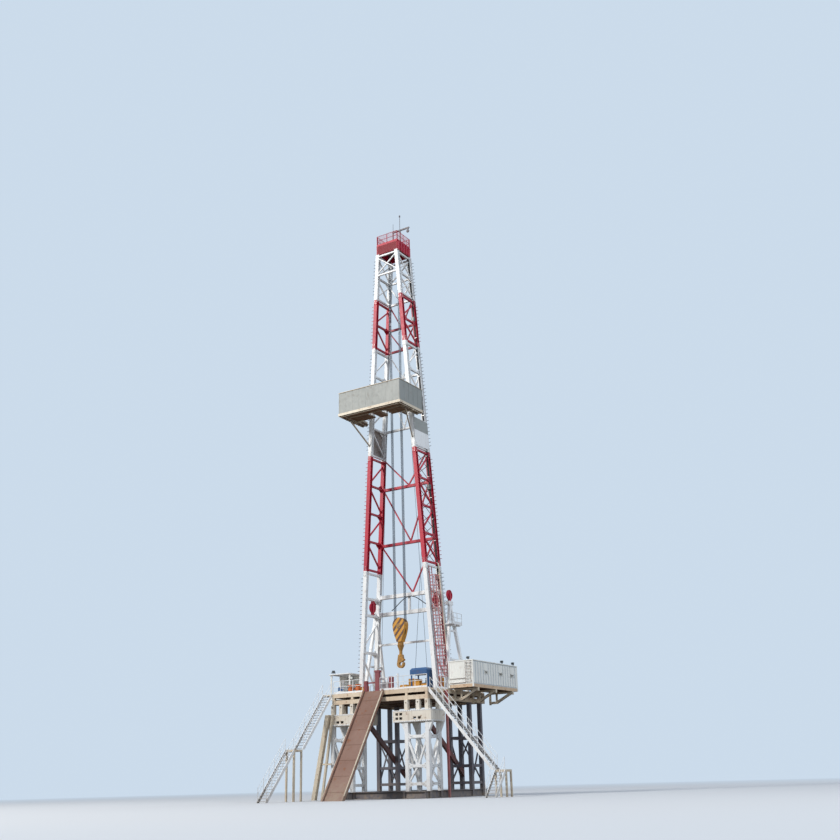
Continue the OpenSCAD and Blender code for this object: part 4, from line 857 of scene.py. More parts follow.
@dataclass
class Floodlights:
    """Square work lamps on short brackets."""

    size: float = 0.13
    housing: Steelwork = field(default_factory=Steelwork)
    glass: Steelwork = field(default_factory=Steelwork)

    def hang(self, foot: Place, aim: Place) -> None:
        """Adds a lamp that stands on a point and looks along aim."""
        foot, aim = Vector(foot), Vector(aim).normalized()
        middle = foot + Vector((0, 0, self.size * 0.9))
        across = aim.cross(Vector((0, 0, 1))).normalized() * self.size * 0.62
        self.housing.drum(foot - Vector((0, 0, 0.01)), foot + Vector((0, 0, self.size * 0.28)), 0.014, 8)
        for row in (-1, 1):
            self.housing.bar(middle + across * row - Vector((0, 0, self.size * 0.68)), middle + across * row,
                             0.02, 0.008, aim)
        self.housing.bar(middle - across - Vector((0, 0, self.size * 0.66)),
                         middle + across - Vector((0, 0, self.size * 0.66)), 0.02, 0.01)
        self.housing.bar(middle - across, middle + across, 0.012, 0.012)
        self.housing.bar(middle - aim * self.size * 0.32, middle + aim * self.size * 0.3, self.size,
                         self.size * 0.8)
        for fin in range(4):
            self.housing.bar(middle - aim * self.size * (0.36 + fin * 0.09),
                             middle - aim * self.size * (0.33 + fin * 0.09),
                             self.size * 0.8, self.size * 0.62)
        self.glass.bar(middle + aim * self.size * 0.29, middle + aim * self.size * 0.335, self.size * 0.86,
                       self.size * 0.66)

    def build(self) -> None:
        """Turns all the lamps into two pieces."""
        self.housing.piece("lamp_housings", Finish.LAMP, bevel=0.004)
        self.glass.piece("lamp_glasses", Finish.LENS, bevel=0.003)


@dataclass
class RackingBoard:
    """Ribs, rails and joists of the board near the top of the mast."""

    shop: Workshop
    half: float = 1.78
    front: float = -2.40
    rear: float = -0.40
    floor: float = 17.65
    wall: float = 1.08
    frame: float = 0.10
    rib_spacing: float = 0.355

    def build(self) -> None:
        """Makes the board's fittings."""
        self.ribs()
        self.rails()
        self.joists()

    def ribs(self) -> None:
        """Stiffens the wind walls with upright ribs outside and inside."""
        low, rise = self.floor + 0.04, self.wall - 0.08
        middle = low + rise / 2
        runs = {"outer_ribs_front": ((-self.half + 0.03, self.front - 0.002),
                                     (self.half - 0.03, self.front - 0.002), (0.022, 0.004)),
                "inner_ribs_front": ((-self.half + 0.1, self.front + 0.045),
                                     (self.half - 0.1, self.front + 0.045), (0.04, 0.03)),
                "outer_ribs_right": ((self.half + 0.003, self.front + 0.03),
                                     (self.half + 0.003, self.rear - 0.03), (0.004, 0.022)),
                "outer_ribs_left": ((-self.half - 0.003, self.front + 0.03),
                                    (-self.half - 0.003, self.rear - 0.03), (0.004, 0.022)),
                "inner_ribs_left": ((-self.half + 0.045, self.front + 0.1),
                                    (-self.half + 0.045, self.rear - 0.05), (0.03, 0.04))}
        for name, (start, end, (wide, deep)) in runs.items():
            self.shop.ribs.grow(name, lines([((*start, middle), (*end, middle))]), Finish.PANEL,
                                Spacing=self.rib_spacing, Size=(wide, deep, rise))

    def rails(self) -> None:
        """Runs a pipe along the walls' top edge and a cream angle along their foot."""
        corners = [(-self.half, self.rear), (-self.half, self.front), (self.half, self.front),
                   (self.half, self.rear)]
        top = self.floor + self.wall + 0.006
        ring = [((*a, top), (*b, top)) for a, b in zip(corners, corners[1:])]
        self.shop.tubes.grow("wall_top_pipe", lines(ring), Finish.CREAM, Radius=0.024, Sides=10)
        steel = Steelwork()
        edge = 0.022
        steel.block((-self.half - edge, self.front - edge, self.floor - self.frame),
                    (self.half + edge, self.front - 0.001, self.floor + 0.03))
        for side in (-1, 1):
            low, high = sorted((side * (self.half + 0.001), side * (self.half + edge)))
            steel.block((low, self.front - 0.001, self.floor - self.frame),
                        (high, self.rear, self.floor + 0.03))
        steel.piece("board_edge_angle", Finish.CREAM)

    def joists(self) -> None:
        """Hangs pale tubes under the board, along and across it."""
        under = self.floor - self.frame - 0.03
        runs = [((-self.half + 0.06, y, under), (self.half - 0.06, y, under))
                for y in (self.front + 0.07, self.front + 0.44)]
        for side in (-1, 1):
            for x in (1.50, 1.72):
                runs.append(((side * x, self.front + 0.07, under), (side * x, self.rear - 0.03, under)))
            for y in steps(self.front + 0.62, self.rear - 0.2, 0.2):
                runs.append(((side * 1.47, y, under), (side * 1.76, y, under)))
        self.shop.tubes.grow("board_joists", lines(runs), Finish.CREAM, Radius=0.026, Sides=8)


@dataclass
class Crown:
    """Bolts, plates and guard mesh at the top of the mast."""

    shop: Workshop
    base: float = 26.75
    half: float = 0.62
    deep: float = 0.575
    height: float = 0.51
    bolt_spacing: float = 0.115
    stiffener: float = 0.007

    def build(self) -> None:
        """Makes the crown's fittings."""
        places, aims = [], []
        for side in (-1, 1):
            for y in steps(-self.deep + 0.05, self.deep - 0.05, self.bolt_spacing):
                for z in (self.base + 0.06, self.base + self.height - 0.06):
                    places.append((side * (self.half + 0.06), y, z))
                    aims.append((side, 0, 0))
            for x in steps(-self.half + 0.05, self.half - 0.05, self.bolt_spacing):
                for z in (self.base + 0.07, self.base + self.height - 0.07):
                    places.append((x, side * (self.deep + 0.055), z))
                    aims.append((0, side, 0))
        self.shop.studs.grow("crown_bolts", points(places, aims), Finish.CRIMSON, Radius=0.014, Height=0.014,
                             Sides=6)
        self.stiffeners()
        self.front()
        self.mesh()

    def front(self) -> None:
        """Covers the crown's front beam with a darker plate: painted shade on the front face."""
        steel, face = Steelwork(), -self.deep - 0.053
        steel.block((-self.half + 0.02, face - 0.005, self.base + 0.02),
                    (self.half - 0.02, face + 0.001, self.base + self.height - 0.02))
        steel.piece("crown_front_shade_plate", Finish.CROWN)

    def stiffeners(self) -> None:
        """Welds upright plates to the outer faces of the crown's beams."""
        steel = Steelwork()
        low, high = self.base + 0.012, self.base + self.height - 0.012
        for side in (-1, 1):
            face = side * (self.half + 0.058)
            near, far = sorted((face, face + side * 0.028))
            for y in (-0.36, -0.12, 0.12, 0.36):
                steel.block((near, y - self.stiffener, low), (far, y + self.stiffener, high))
        face = self.deep + 0.053
        for x in (-0.4, -0.14, 0.14, 0.4):
            steel.block((x - self.stiffener, face, low + 0.01),
                        (x + self.stiffener, face + 0.024, high - 0.01))
        steel.piece("crown_stiffeners", Finish.CRIMSON)

    def mesh(self) -> None:
        """Fills the crown's guard rails with thin upright bars."""
        low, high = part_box("crown_rails")
        x, y = (high[0] - low[0]) / 2 - 0.012, (high[1] - low[1]) / 2 - 0.012
        foot, top = self.base + self.height + 0.03, high[2] - 0.02
        bars = []
        for side in (-1, 1):
            bars += [((side * x, v, foot), (side * x, v, top)) for v in steps(-y, y, 0.06)]
            bars += [((v, side * y, foot), (v, side * y, top)) for v in steps(-x, x, 0.06)]
        self.shop.tubes.grow("crown_guard_mesh", lines(bars), Finish.CRIMSON, Radius=0.007, Sides=6)


@dataclass
class BlockAndHook:
    """Pins, bolts and latch of the travelling block and its hook."""

    shop: Workshop
    top: float = 7.91
    height: float = 1.11
    depth: float = 0.34

    def build(self) -> None:
        """Makes the fittings of both."""
        self.block_plates()
        self.hook_fittings()

    def block_plates(self) -> None:
        """Caps the sheave pin and rings it and the housing with bolts."""
        steel, places, aims = Steelwork(), [], []
        pin = self.top - 0.40
        for side in (-1, 1):
            face = side * self.depth / 2
            steel.drum((0, face - side * 0.004, pin), (0, face + side * 0.016, pin), 0.125, 28)
            steel.drum((0, face + side * 0.016, pin), (0, face + side * 0.038, pin), 0.075, 28, 0.066)
            for i in range(10):
                around = math.tau * i / 10
                places.append((0.102 * math.cos(around), face + side * 0.016, pin + 0.102 * math.sin(around)))
                aims.append((0, side, 0))
            for x, drop in ((0.27, 0.2), (0.29, 0.36), (0.27, 0.52), (0.22, 0.68), (0.17, 0.84), (0.11, 0.98),
                            (0.12, 0.05)):
                for hand in (-1, 1):
                    places.append((hand * x, face, self.top - drop))
                    aims.append((0, side, 0))
        steel.piece("block_pin_caps", Finish.GOLD, Body.BLOCK, bevel=0.004)
        self.shop.studs.grow("block_bolts", points(places, aims), Finish.ZINC, Body.BLOCK,
                             Radius=0.014, Height=0.014, Sides=6)

    def hook_fittings(self) -> None:
        """Adds the spring housing's ribs, the latch and its pin."""
        steel = Steelwork()
        neck = self.top - self.height
        for i in range(8):
            around = math.tau * i / 8
            way = Vector((math.cos(around), math.sin(around), 0))
            steel.bar(way * 0.128 + Vector((0, 0, neck - 0.01)), way * 0.128 + Vector((0, 0, neck - 0.15)),
                      0.016, 0.022, way)
        low = neck - 1.0
        for side in (-1, 1):
            steel.bar((0.19, side * 0.076, low + 0.16), (0.04, side * 0.076, low + 0.30), 0.05, 0.012,
                      (0, 1, 0))
            steel.drum((0.05, side * 0.068, low + 0.29), (0.05, side * 0.094, low + 0.29), 0.026, 14)
            steel.drum((0, side * 0.068, low + 0.40), (0, side * 0.09, low + 0.40), 0.05, 20)
        steel.piece("hook_latch", Finish.AMBER, Body.HOOK, bevel=0.003)


@dataclass
class DrillingLines:
    """The wire ropes that hold the block, straight between block and crown."""

    low: float = 7.581
    high: float = 27.05
    out: float = 0.28
    spacing: float = 0.046
    falls: int = 5
    radius: float = 0.0095
    sides: int = 10

    def build(self) -> None:
        """Makes the ropes, straight from block to crown."""
        steel = Steelwork()
        for side in (-1, 1):
            for i in range(self.falls):
                y = (i - (self.falls - 1) / 2) * self.spacing
                steel.drum((side * self.out, y, self.low), (side * self.out, y, self.high), self.radius,
                           self.sides)
        item = steel.item("block_ropes", Finish.ROPE)
        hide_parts("drilling_lines")
        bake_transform(item)
        LOG.info("%-24s %6d faces between block and rig", item.name, len(item.data.polygons))


@dataclass
class SideCabin:
    """Ribs, rungs, trays, vents and lamps of the cabin on the right of the floor."""

    shop: Workshop
    lamps: Floodlights
    low: tuple[float, float, float] = field(init=False)
    high: tuple[float, float, float] = field(init=False)
    pitch: float = 0.23
    half_rib: float = 0.0775
    margin: float = 0.045
    skin: float = 0.003
    vent: float = 0.30
    vent_shares: tuple[float, ...] = (0.25, 0.58, 0.84)
    vent_row: tuple[float, float] = (0.45, 0.63)
    middle_row: tuple[float, float] = (0.451, 0.629)

    def __post_init__(self) -> None:
        """Takes the cabin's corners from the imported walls."""
        low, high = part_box("side_cabin_walls")
        self.low, self.high = tuple(low), tuple(high)

    def build(self) -> None:
        """Makes the cabin's fittings."""
        self.ribs()
        self.front_wall()
        self.side_wall()
        for x, y in ((self.high[0] - 0.35, self.low[1] + 0.25), (self.high[0] - 0.1, self.high[1] - 0.12),
                     (self.high[0] - 0.1, self.high[1] - 1.2)):
            self.lamps.hang((x, y, self.high[2] + 0.04), (0.9, 1, -0.2))

    def ribs(self) -> None:
        """Folds upright ribs into the cabin's outer walls."""
        middle, rise = (self.low[2] + self.high[2]) / 2, self.high[2] - self.low[2] - 2 * self.margin
        for name, y in (("front", self.low[1] - self.skin), ("rear", self.high[1] + self.skin)):
            run = ((self.low[0] + 0.12, y, middle), (self.high[0] - 0.12, y, middle))
            self.shop.ribs.grow(f"cabin_ribs_{name}", lines([run]), Finish.CABIN,
                                Spacing=0.075, Size=(0.034, 0.012, rise))
        wall = self.high[0] + self.skin
        rows = ((self.low[2] + self.margin, self.low[2] + self.vent_row[0]),
                (self.low[2] + self.vent_row[1], self.high[2] - self.margin))
        for row, (foot, top) in enumerate(rows, 1):
            run = ((wall, self.low[1] + 0.1, (foot + top) / 2), (wall, self.high[1] - 0.1, (foot + top) / 2))
            self.shop.ribs.grow(f"cabin_ribs_side_{row}", lines([run]), Finish.CABIN, Spacing=self.pitch,
                                Size=(0.022, 2 * self.half_rib, top - foot))
        self.ribs_between_vents()

    def vents(self) -> list[tuple[float, float]]:
        """Returns where each ventilation slot of the side wall starts and ends along Y."""
        length = self.high[1] - self.low[1]
        starts = [self.low[1] + length * share for share in self.vent_shares]
        return [(start, start + self.vent) for start in starts]

    def ribs_between_vents(self) -> None:
        """Carries the side wall's ribs on between the ventilation slots."""
        first, last = self.low[1] + 0.1, self.high[1] - 0.1
        count = int((last - first) / self.pitch)
        steel = Steelwork()
        clear = self.half_rib + 0.03
        for i in range(count + 1):
            y = first + (last - first) * i / count
            if all(y < start - clear or y > end + clear for start, end in self.vents()):
                steel.block((self.high[0] - 0.008, y - self.half_rib, self.low[2] + self.middle_row[0]),
                            (self.high[0] + 0.014, y + self.half_rib, self.low[2] + self.middle_row[1]))
        steel.piece("cabin_ribs_side_middle", Finish.CABIN)

    def front_wall(self) -> None:
        """Hangs rungs and two cable trays on the front wall and caps the corners with posts."""
        wall, low, high = self.low[1] - 0.009, self.low[2], self.high[2]
        sides = (self.high[0] - 0.34, self.high[0] - 0.08)
        rungs = [((sides[0], wall - 0.06, z), (sides[1], wall - 0.06, z))
                 for z in steps(low + 0.1, high - 0.09, 0.14)]
        rungs += [((x, wall - 0.06, low + 0.05), (x, wall - 0.06, high + 0.01)) for x in sides]
        rungs += [((x, wall - 0.06, z), (x, wall + 0.01, z)) for x in sides
                  for z in (low + 0.12, (low + high) / 2, high - 0.09)]
        self.shop.tubes.grow("cabin_rungs", lines(rungs), Finish.SHEET, Radius=0.011, Sides=8)
        steel = Steelwork()
        for z in (low + 0.05, low + 0.24):
            steel.block((self.low[0] + 0.05, wall - 0.03, z), (sides[0] - 0.04, wall + 0.01, z + 0.02))
        steel.piece("cabin_cable_trays", Finish.SHEET)
        corner = Steelwork()
        for x in (self.low[0], self.high[0]):
            for y in (self.low[1], self.high[1]):
                corner.block((x - 0.028, y - 0.028, self.low[2] - 0.135),
                             (x + 0.028, y + 0.028, self.high[2]))
        corner.piece("cabin_corner_posts", Finish.CABIN, bevel=0.004)

    def side_wall(self) -> None:
        """Frames the ventilation slots and slants dark blades across them."""
        frames, blades = Steelwork(), Steelwork()
        x = self.high[0]
        z0, z1 = self.low[2] + 0.49, self.low[2] + 0.59
        for y0, y1 in self.vents():
            frames.block((x - 0.01, y0 - 0.025, z1), (x + 0.03, y1 + 0.025, z1 + 0.02))
            frames.block((x + 0.001, y0 - 0.005, z1 + 0.03), (x + 0.018, y1 + 0.005, self.high[2] - 0.06))
            frames.block((x - 0.01, y0 - 0.025, z0 - 0.02), (x + 0.018, y1 + 0.025, z0))
            for y in (y0 - 0.025, y1):
                frames.block((x - 0.01, y, z0), (x + 0.018, y + 0.025, z1))
            for z in steps(z0 + 0.02, z1 - 0.02, 0.03):
                blades.bar((x - 0.014, y0 + 0.002, z), (x - 0.014, y1 - 0.002, z), 0.035, 0.004, (0.5, 0, 1))
        frames.piece("cabin_vent_frames", Finish.CABIN)
        blades.piece("cabin_vent_blades", Finish.CABIN)


@dataclass
class Substructure:
    """Gussets, edge strips and their bolts below the drill floor."""

    shop: Workshop
    posts_x: tuple[float, float] = (1.45, 2.50)
    front_y: tuple[float, float] = (-1.80, -0.925)
    levels: tuple[float, float, float] = (0.58, 1.30, 2.50)
    post: float = 0.17
    gusset_reach: float = 0.2
    gusset_rise: float = 0.15
    girder_top: float = 3.60
    ramp_foot: Place = (-0.27, -4.80, 0.02)
    ramp_top: Place = (-0.27, -1.85, 4.50)

    def build(self) -> None:
        """Makes the fittings of the substructure."""
        self.gussets()
        self.flanges()
        self.ramp_strips()

    def gussets(self) -> None:
        """Bolts a plate over each joint of the front towers' posts and rails."""
        steel, places, aims = Steelwork(), [], []
        lift = Vector((0, 0, self.gusset_rise))
        for side in (-1, 1):
            for z in self.levels:
                faces = [(Vector((side * (x + inward * self.post / 2), self.front_y[0] - 0.062, z)),
                          Vector((side * inward, 0, 0)), Vector((0, -1, 0)))
                         for x, inward in zip(self.posts_x, (1, -1))]
                faces += [(Vector((side * (self.posts_x[1] + 0.062), y + inward * self.post / 2, z)),
                           Vector((0, inward, 0)), Vector((side, 0, 0)))
                          for y, inward in zip(self.front_y, (1, -1))]
                for root, way, out in faces:
                    away, thick = way * self.gusset_reach, out * (self.post * 0.07)
                    tip = root + away
                    steel.plate([root - lift, root + lift, tip + lift * 0.35, tip - lift * 0.35], thick)
                    for share, row in ((0.2, 0.5), (0.2, -0.5), (0.55, 0.0), (0.85, 0.0)):
                        places.append(root + away * share + lift * row + thick)
                        aims.append(out)
        steel.piece("tower_gussets", Finish.WHITE, bevel=0.003)
        self.shop.studs.grow("tower_gusset_bolts", points(places, aims), Finish.ZINC, Radius=0.014,
                             Height=0.014, Sides=6)

    def flanges(self) -> None:
        """Adds edge strips with bolts along the box girders' front faces."""
        low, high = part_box("service_boxes")
        places, aims, steel = [], [], Steelwork()
        for side in (-1, 1):
            for z in (low[2] + 0.03, self.girder_top - 0.03):
                start, end = sorted((side * 0.83, side * (high[0] - 0.03)))
                steel.block((start, low[1] - 0.008, z - 0.022), (end, low[1] + 0.002, z + 0.022))
                for x in steps(start + 0.05, end - 0.05, 0.1):
                    places.append((x, low[1] - 0.008, z))
                    aims.append((0, -1, 0))
                face = side * high[0]
                near, far = sorted((face, face + side * 0.008))
                steel.block((near, low[1] + 0.03, z - 0.022), (far, -0.81, z + 0.022))
                for y in steps(low[1] + 0.08, -0.86, 0.1):
                    places.append((face + side * 0.008, y, z))
                    aims.append((side, 0, 0))
        steel.piece("girder_edge_strips", Finish.WHITE)
        self.shop.studs.grow("girder_edge_bolts", points(places, aims), Finish.ZINC, Radius=0.012,
                             Height=0.012, Sides=6)

    def ramp_strips(self) -> None:
        """Lays pale strips along the outer edges of the ramp's rails."""
        steel = Steelwork()
        foot, top = Vector(self.ramp_foot), Vector(self.ramp_top)
        away = Vector((0, -(top - foot).z, (top - foot).y)).normalized()
        for side, wide in ((1, 0.034), (-1, 0.016)):
            edge = Vector((side * 0.55, 0, 0)) + away * 0.075
            start, end = foot.lerp(top, 0.03) + edge, foot.lerp(top, 0.985) + edge
            steel.bar(start - Vector((side * wide / 2, 0, 0)), end - Vector((side * wide / 2, 0, 0)), wide,
                      0.006, away)
            steel.bar(start - away * 0.018, end - away * 0.018, 0.006, 0.036, away)
        steel.piece("ramp_edge_strips", Finish.CREAM)


@dataclass
class FloorTools:
    """Tongs, drum, lamps and the driller's console and seat on the drill floor."""

    lamps: Floodlights
    floor: float = 4.5
    tong_spots: tuple[tuple[float, float], ...] = ((-1.86, -1.35), (-1.40, -1.42))
    drum_spot: tuple[float, float] = (-3.20, -0.30)

    def build(self) -> None:
        """Makes what stands on the floor."""
        self.tongs()
        self.drum()
        self.console()
        self.lamps.hang((-3.50, -0.50, 5.55), (-0.9, 1, -0.2))
        self.lamps.hang((-1.55, -1.72, 5.05), (0.2, -1, 0.0))

    def tongs(self) -> None:
        """Lays two pairs of orange tongs at the front left of the floor."""
        steel = Steelwork()
        for x, y in self.tong_spots:
            foot = Vector((x, y, self.floor))
            steel.drum(foot, foot + Vector((0, 0, 0.10)), 0.17, 20)
            steel.drum(foot + Vector((0, 0, 0.10)), foot + Vector((0, 0, 0.34)), 0.12, 20, 0.10)
            steel.drum(foot + Vector((0, 0, 0.34)), foot + Vector((0, 0, 0.40)), 0.15, 20)
            steel.bar(foot + Vector((-0.02, 0.05, 0.25)), foot + Vector((0.26, 0.42, 0.25)), 0.07, 0.09)
            steel.bar(foot + Vector((-0.14, 0.0, 0.22)), foot + Vector((-0.24, 0.30, 0.22)), 0.05, 0.12)
            steel.drum(foot + Vector((0.26, 0.42, 0.0)), foot + Vector((0.26, 0.42, 0.33)), 0.035, 14)
        steel.piece("floor_tongs", Finish.ORANGE, bevel=0.006)

    def drum(self) -> None:
        """Stands a blue drum with a pale band under the shelter."""
        foot = Vector((*self.drum_spot, self.floor))
        shell, band = Steelwork(), Steelwork()
        shell.drum(foot, foot + Vector((0, 0, 0.44)), 0.145, 32)
        for z in (0.0, 0.145, 0.29, 0.43):
            shell.drum(foot + Vector((0, 0, z)), foot + Vector((0, 0, z + 0.012)), 0.152, 32)
        shell.piece("floor_drum", Finish.BLUE, bevel=0.004)
        band.drum(foot + Vector((0, 0, 0.17)), foot + Vector((0, 0, 0.27)), 0.147, 32)
        band.piece("floor_drum_band", Finish.WHITE)

    def console(self) -> None:
        """Fits the driller's cabin with a console, gauges and a seat."""
        low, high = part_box("drillers_cabin")
        x0, x1, y0 = low[0] + 0.08, high[0] - 0.05, low[1]
        amber, dark = Steelwork(), Steelwork()
        amber.block((x0 + 0.02, y0 + 0.08, self.floor + 0.002), (x0 + 0.36, y0 + 0.26, self.floor + 0.40))
        amber.plate([(x0 + 0.02, y0 + 0.06, self.floor + 0.40), (x0 + 0.02, y0 + 0.28, self.floor + 0.52),
                     (x0 + 0.02, y0 + 0.28, self.floor + 0.40)], (0.34, 0, 0))
        amber.block((x0 + 0.42, y0 + 0.12, self.floor + 0.002), (x1 - 0.04, y0 + 0.30, self.floor + 0.30))
        amber.piece("drillers_console", Finish.AMBER, bevel=0.006)
        for i in range(3):
            centre = Vector((x0 + 0.08 + i * 0.11, y0 + 0.168, self.floor + 0.463))
            way = Vector((0, -0.48, 0.88))
            dark.drum(centre - way * 0.01, centre + way * 0.02, 0.036, 20)
        dark.block((x0 + 0.50, y0 + 0.36, self.floor + 0.002), (x0 + 0.58, y0 + 0.44, self.floor + 0.24))
        dark.block((x0 + 0.42, y0 + 0.28, self.floor + 0.24), (x0 + 0.66, y0 + 0.52, self.floor + 0.29))
        dark.block((x0 + 0.42, y0 + 0.49, self.floor + 0.29), (x0 + 0.66, y0 + 0.53, self.floor + 0.56))
        dark.piece("drillers_seat_and_gauges", Finish.LAMP, bevel=0.006)


@dataclass
class Ladder:
    """Close hoops round the caged ladder on the mast's right front leg."""

    mast: Mast
    shop: Workshop
    rungs: int = 36
    width: float = 0.165
    reach: float = 0.33
    foot: float = 0.12
    head: float = 5.60

    def build(self) -> None:
        """Bends two hoops between every two rings of the cage."""
        shift = Vector((self.mast.leg / 2 + 0.04, 0.19, 0))
        foot, head = (self.mast.at(up, 1, -1) + shift for up in (self.foot, self.head))
        hoops = []
        for i in range(4, self.rungs - 3):
            if i % 3 == 0:
                continue
            middle = foot.lerp(head, i / self.rungs)
            bend = [math.pi / 2 * k / 5 for k in range(-5, 6)]
            hoops.append([middle + Vector((0.03, -self.width, 0))]
                         + [middle + Vector((self.reach - self.width + self.width * math.cos(a),
                                             self.width * math.sin(a), 0)) for a in bend]
                         + [middle + Vector((0.03, self.width, 0))])
        self.shop.tubes.grow("ladder_hoops", paths(hoops), Finish.ROSE, Radius=0.010, Sides=6)


@dataclass
class HoistLines:
    """The dead line, the fast line and the light hoist's line, all drawn tight."""

    shop: Workshop
    radius: float = 0.0085

    def build(self) -> None:
        """Runs the lines and fits what they end in."""
        dead, fast = (-1.55, 0.60), (0.20, 1.985)
        hoist = (0.52, 0.30)
        runs = [((-0.285, 0.12, 27.0), (*dead, 4.78)), ((0.12, 0.285, 27.0), (*fast, 4.93)),
                ((1.02, 0.66, 13.0), (*hoist, 4.86))]
        self.shop.tubes.grow("tight_lines", lines(runs), Finish.ROPE, Radius=self.radius, Sides=8)
        steel = Steelwork()
        x, y = dead
        steel.block((x - 0.14, y - 0.12, 4.501), (x + 0.14, y + 0.12, 4.56))
        steel.drum((x + 0.09, y + 0.09, 4.70), (x + 0.09, y - 0.09, 4.70), 0.135, 28)
        steel.block((x - 0.02, y - 0.11, 4.55), (x + 0.2, y - 0.085, 4.76))
        steel.block((x - 0.02, y + 0.085, 4.55), (x + 0.2, y + 0.11, 4.76))
        x, y = hoist
        steel.block((x - 0.16, y - 0.10, 4.501), (x + 0.16, y + 0.10, 4.54))
        steel.drum((x - 0.13, y, 4.68), (x + 0.13, y, 4.68), 0.075, 20)
        for side in (-0.14, 0.12):
            steel.drum((x + side, y, 4.68), (x + side + 0.02, y, 4.68), 0.15, 24)
        steel.drum((x + 0.14, y, 4.68), (x + 0.30, y, 4.68), 0.085, 20)
        steel.piece("line_anchor_and_hoist", Finish.AMBER, bevel=0.004)


@dataclass
class DrawworksFittings:
    """Wraps of line on the drum and bolts along the drawworks' feet."""

    shop: Workshop
    middle: tuple[float, float, float] = (0.0, 2.15, 4.93)
    reach: float = 0.42
    radius: float = 0.168
    pitch: float = 0.021
    lay: float = 0.008

    def build(self) -> None:
        """Winds the drum and bolts the housing down."""
        steel = Steelwork()
        x, y, z = self.middle
        crest = self.radius + self.lay
        for i in range(int(2 * self.reach / self.pitch)):
            start = x - self.reach + i * self.pitch
            middle, end = start + self.pitch * 0.5, start + self.pitch
            steel.drum((start, y, z), (middle, y, z), self.radius, 24, crest)
            steel.drum((middle, y, z), (end, y, z), crest, 24, self.radius)
        steel.piece("drum_wraps", Finish.ROPE)
        places, aims = [], []
        low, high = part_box("drawworks")
        for side, face in ((-1, low[0] + 0.1), (1, high[0] - 0.1)):
            for v in steps(low[1] + 0.12, high[1] - 0.12, 0.14):
                places.append((face, v, low[2] + 0.045))
                aims.append((side, 0, 0))
        self.shop.studs.grow("drawworks_bolts", points(places, aims), Finish.ZINC, Radius=0.016, Height=0.016,
                             Sides=6)


@dataclass
class Shelter:
    """Folded sheet and a bench in the shelter left of the floor."""

    shop: Workshop

    def build(self) -> None:
        """Ribs the rear wall and roof and sets a bench against the wall."""
        low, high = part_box("shelter_roof")
        wall_y = high[1] - 0.06 - 0.043
        run = ((low[0] + 0.14, wall_y, 4.96), (high[0] - 0.12, wall_y, 4.96))
        self.shop.ribs.grow("shelter_wall_ribs", lines([run]), Finish.CABIN, Spacing=0.08,
                            Size=(0.03, 0.012, 0.86))
        top = high[2] + 0.003
        run = ((low[0] + 0.05, (low[1] + high[1]) / 2, top), (high[0] - 0.05, (low[1] + high[1]) / 2, top))
        self.shop.ribs.grow("shelter_roof_ribs", lines([run]), Finish.CABIN, Spacing=0.09,
                            Size=(0.035, high[1] - low[1] - 0.02, 0.014))
        steel = Steelwork()
        x0, x1 = low[0] + 0.2, high[0] - 0.2
        steel.block((x0, wall_y - 0.26, 4.70), (x1, wall_y - 0.02, 4.72))
        for x in (x0 + 0.03, x1 - 0.03):
            for y in (wall_y - 0.25, wall_y - 0.04):
                steel.block((x - 0.012, y - 0.012, 4.501), (x + 0.012, y + 0.012, 4.70))
        steel.piece("shelter_bench", Finish.BLUE, bevel=0.003)


@dataclass
class GinPole:
    """The small sheave of the lifting boom at the very top."""

    boom: float = 28.40

    def build(self) -> None:
        """Makes the boom's end fittings."""
        low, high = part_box("gin_pole")
        end = Vector((high[0] - 0.09, (low[1] + high[1]) / 2 - 0.05, self.boom - 0.035))
        steel = Steelwork()
        for side in (-1, 1):
            steel.bar(end + Vector((0, side * 0.03, 0.02)), end + Vector((0, side * 0.03, -0.2)), 0.07, 0.012,
                      (0, 1, 0))
        steel.drum(end + Vector((0, -0.022, -0.16)), end + Vector((0, 0.022, -0.16)), 0.085, 24)
        steel.drum(end + Vector((0, -0.05, -0.16)), end + Vector((0, 0.05, -0.16)), 0.018, 12)
        steel.piece("boom_sheave", Finish.DARK, bevel=0.003)


@dataclass
class Hose:
    """The stiff black hose that arches between the two big beams at the back of the mast."""

    mast: Mast
    radius: float = 0.02
    steps: int = 24
    ends: tuple[tuple[float, float], ...] = ((-0.95, 3.92), (1.15, 3.96))
    crest: float = 4.50

    def build(self) -> None:
        front = -0.085 - self.radius
        start, end = (self.mast.at(up, 0, 1) + Vector((x, front, 0)) for x, up in self.ends)
        top = self.mast.floor + self.crest
        route = []
        for i in range(self.steps + 1):
            share = i / self.steps
            flat = start.lerp(end, share)
            rise = (top - flat.z) * math.sin(math.pi * share) ** 1.3
            route.append(flat + Vector((0, 0, rise)))
        curve = bpy.data.curves.new("beam_hose", "CURVE")
        curve.dimensions, curve.bevel_depth, curve.bevel_resolution, curve.use_fill_caps = "3D", self.radius, 3, True
        spline = curve.splines.new("POLY")
        spline.points.add(len(route) - 1)
        for point, place in zip(spline.points, route):
            point.co = (*place, 1)
        item = show("beam_hose", curve)
        curve.materials.append(Finish.RUBBER.material())
        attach(item, Body.RIG.value)


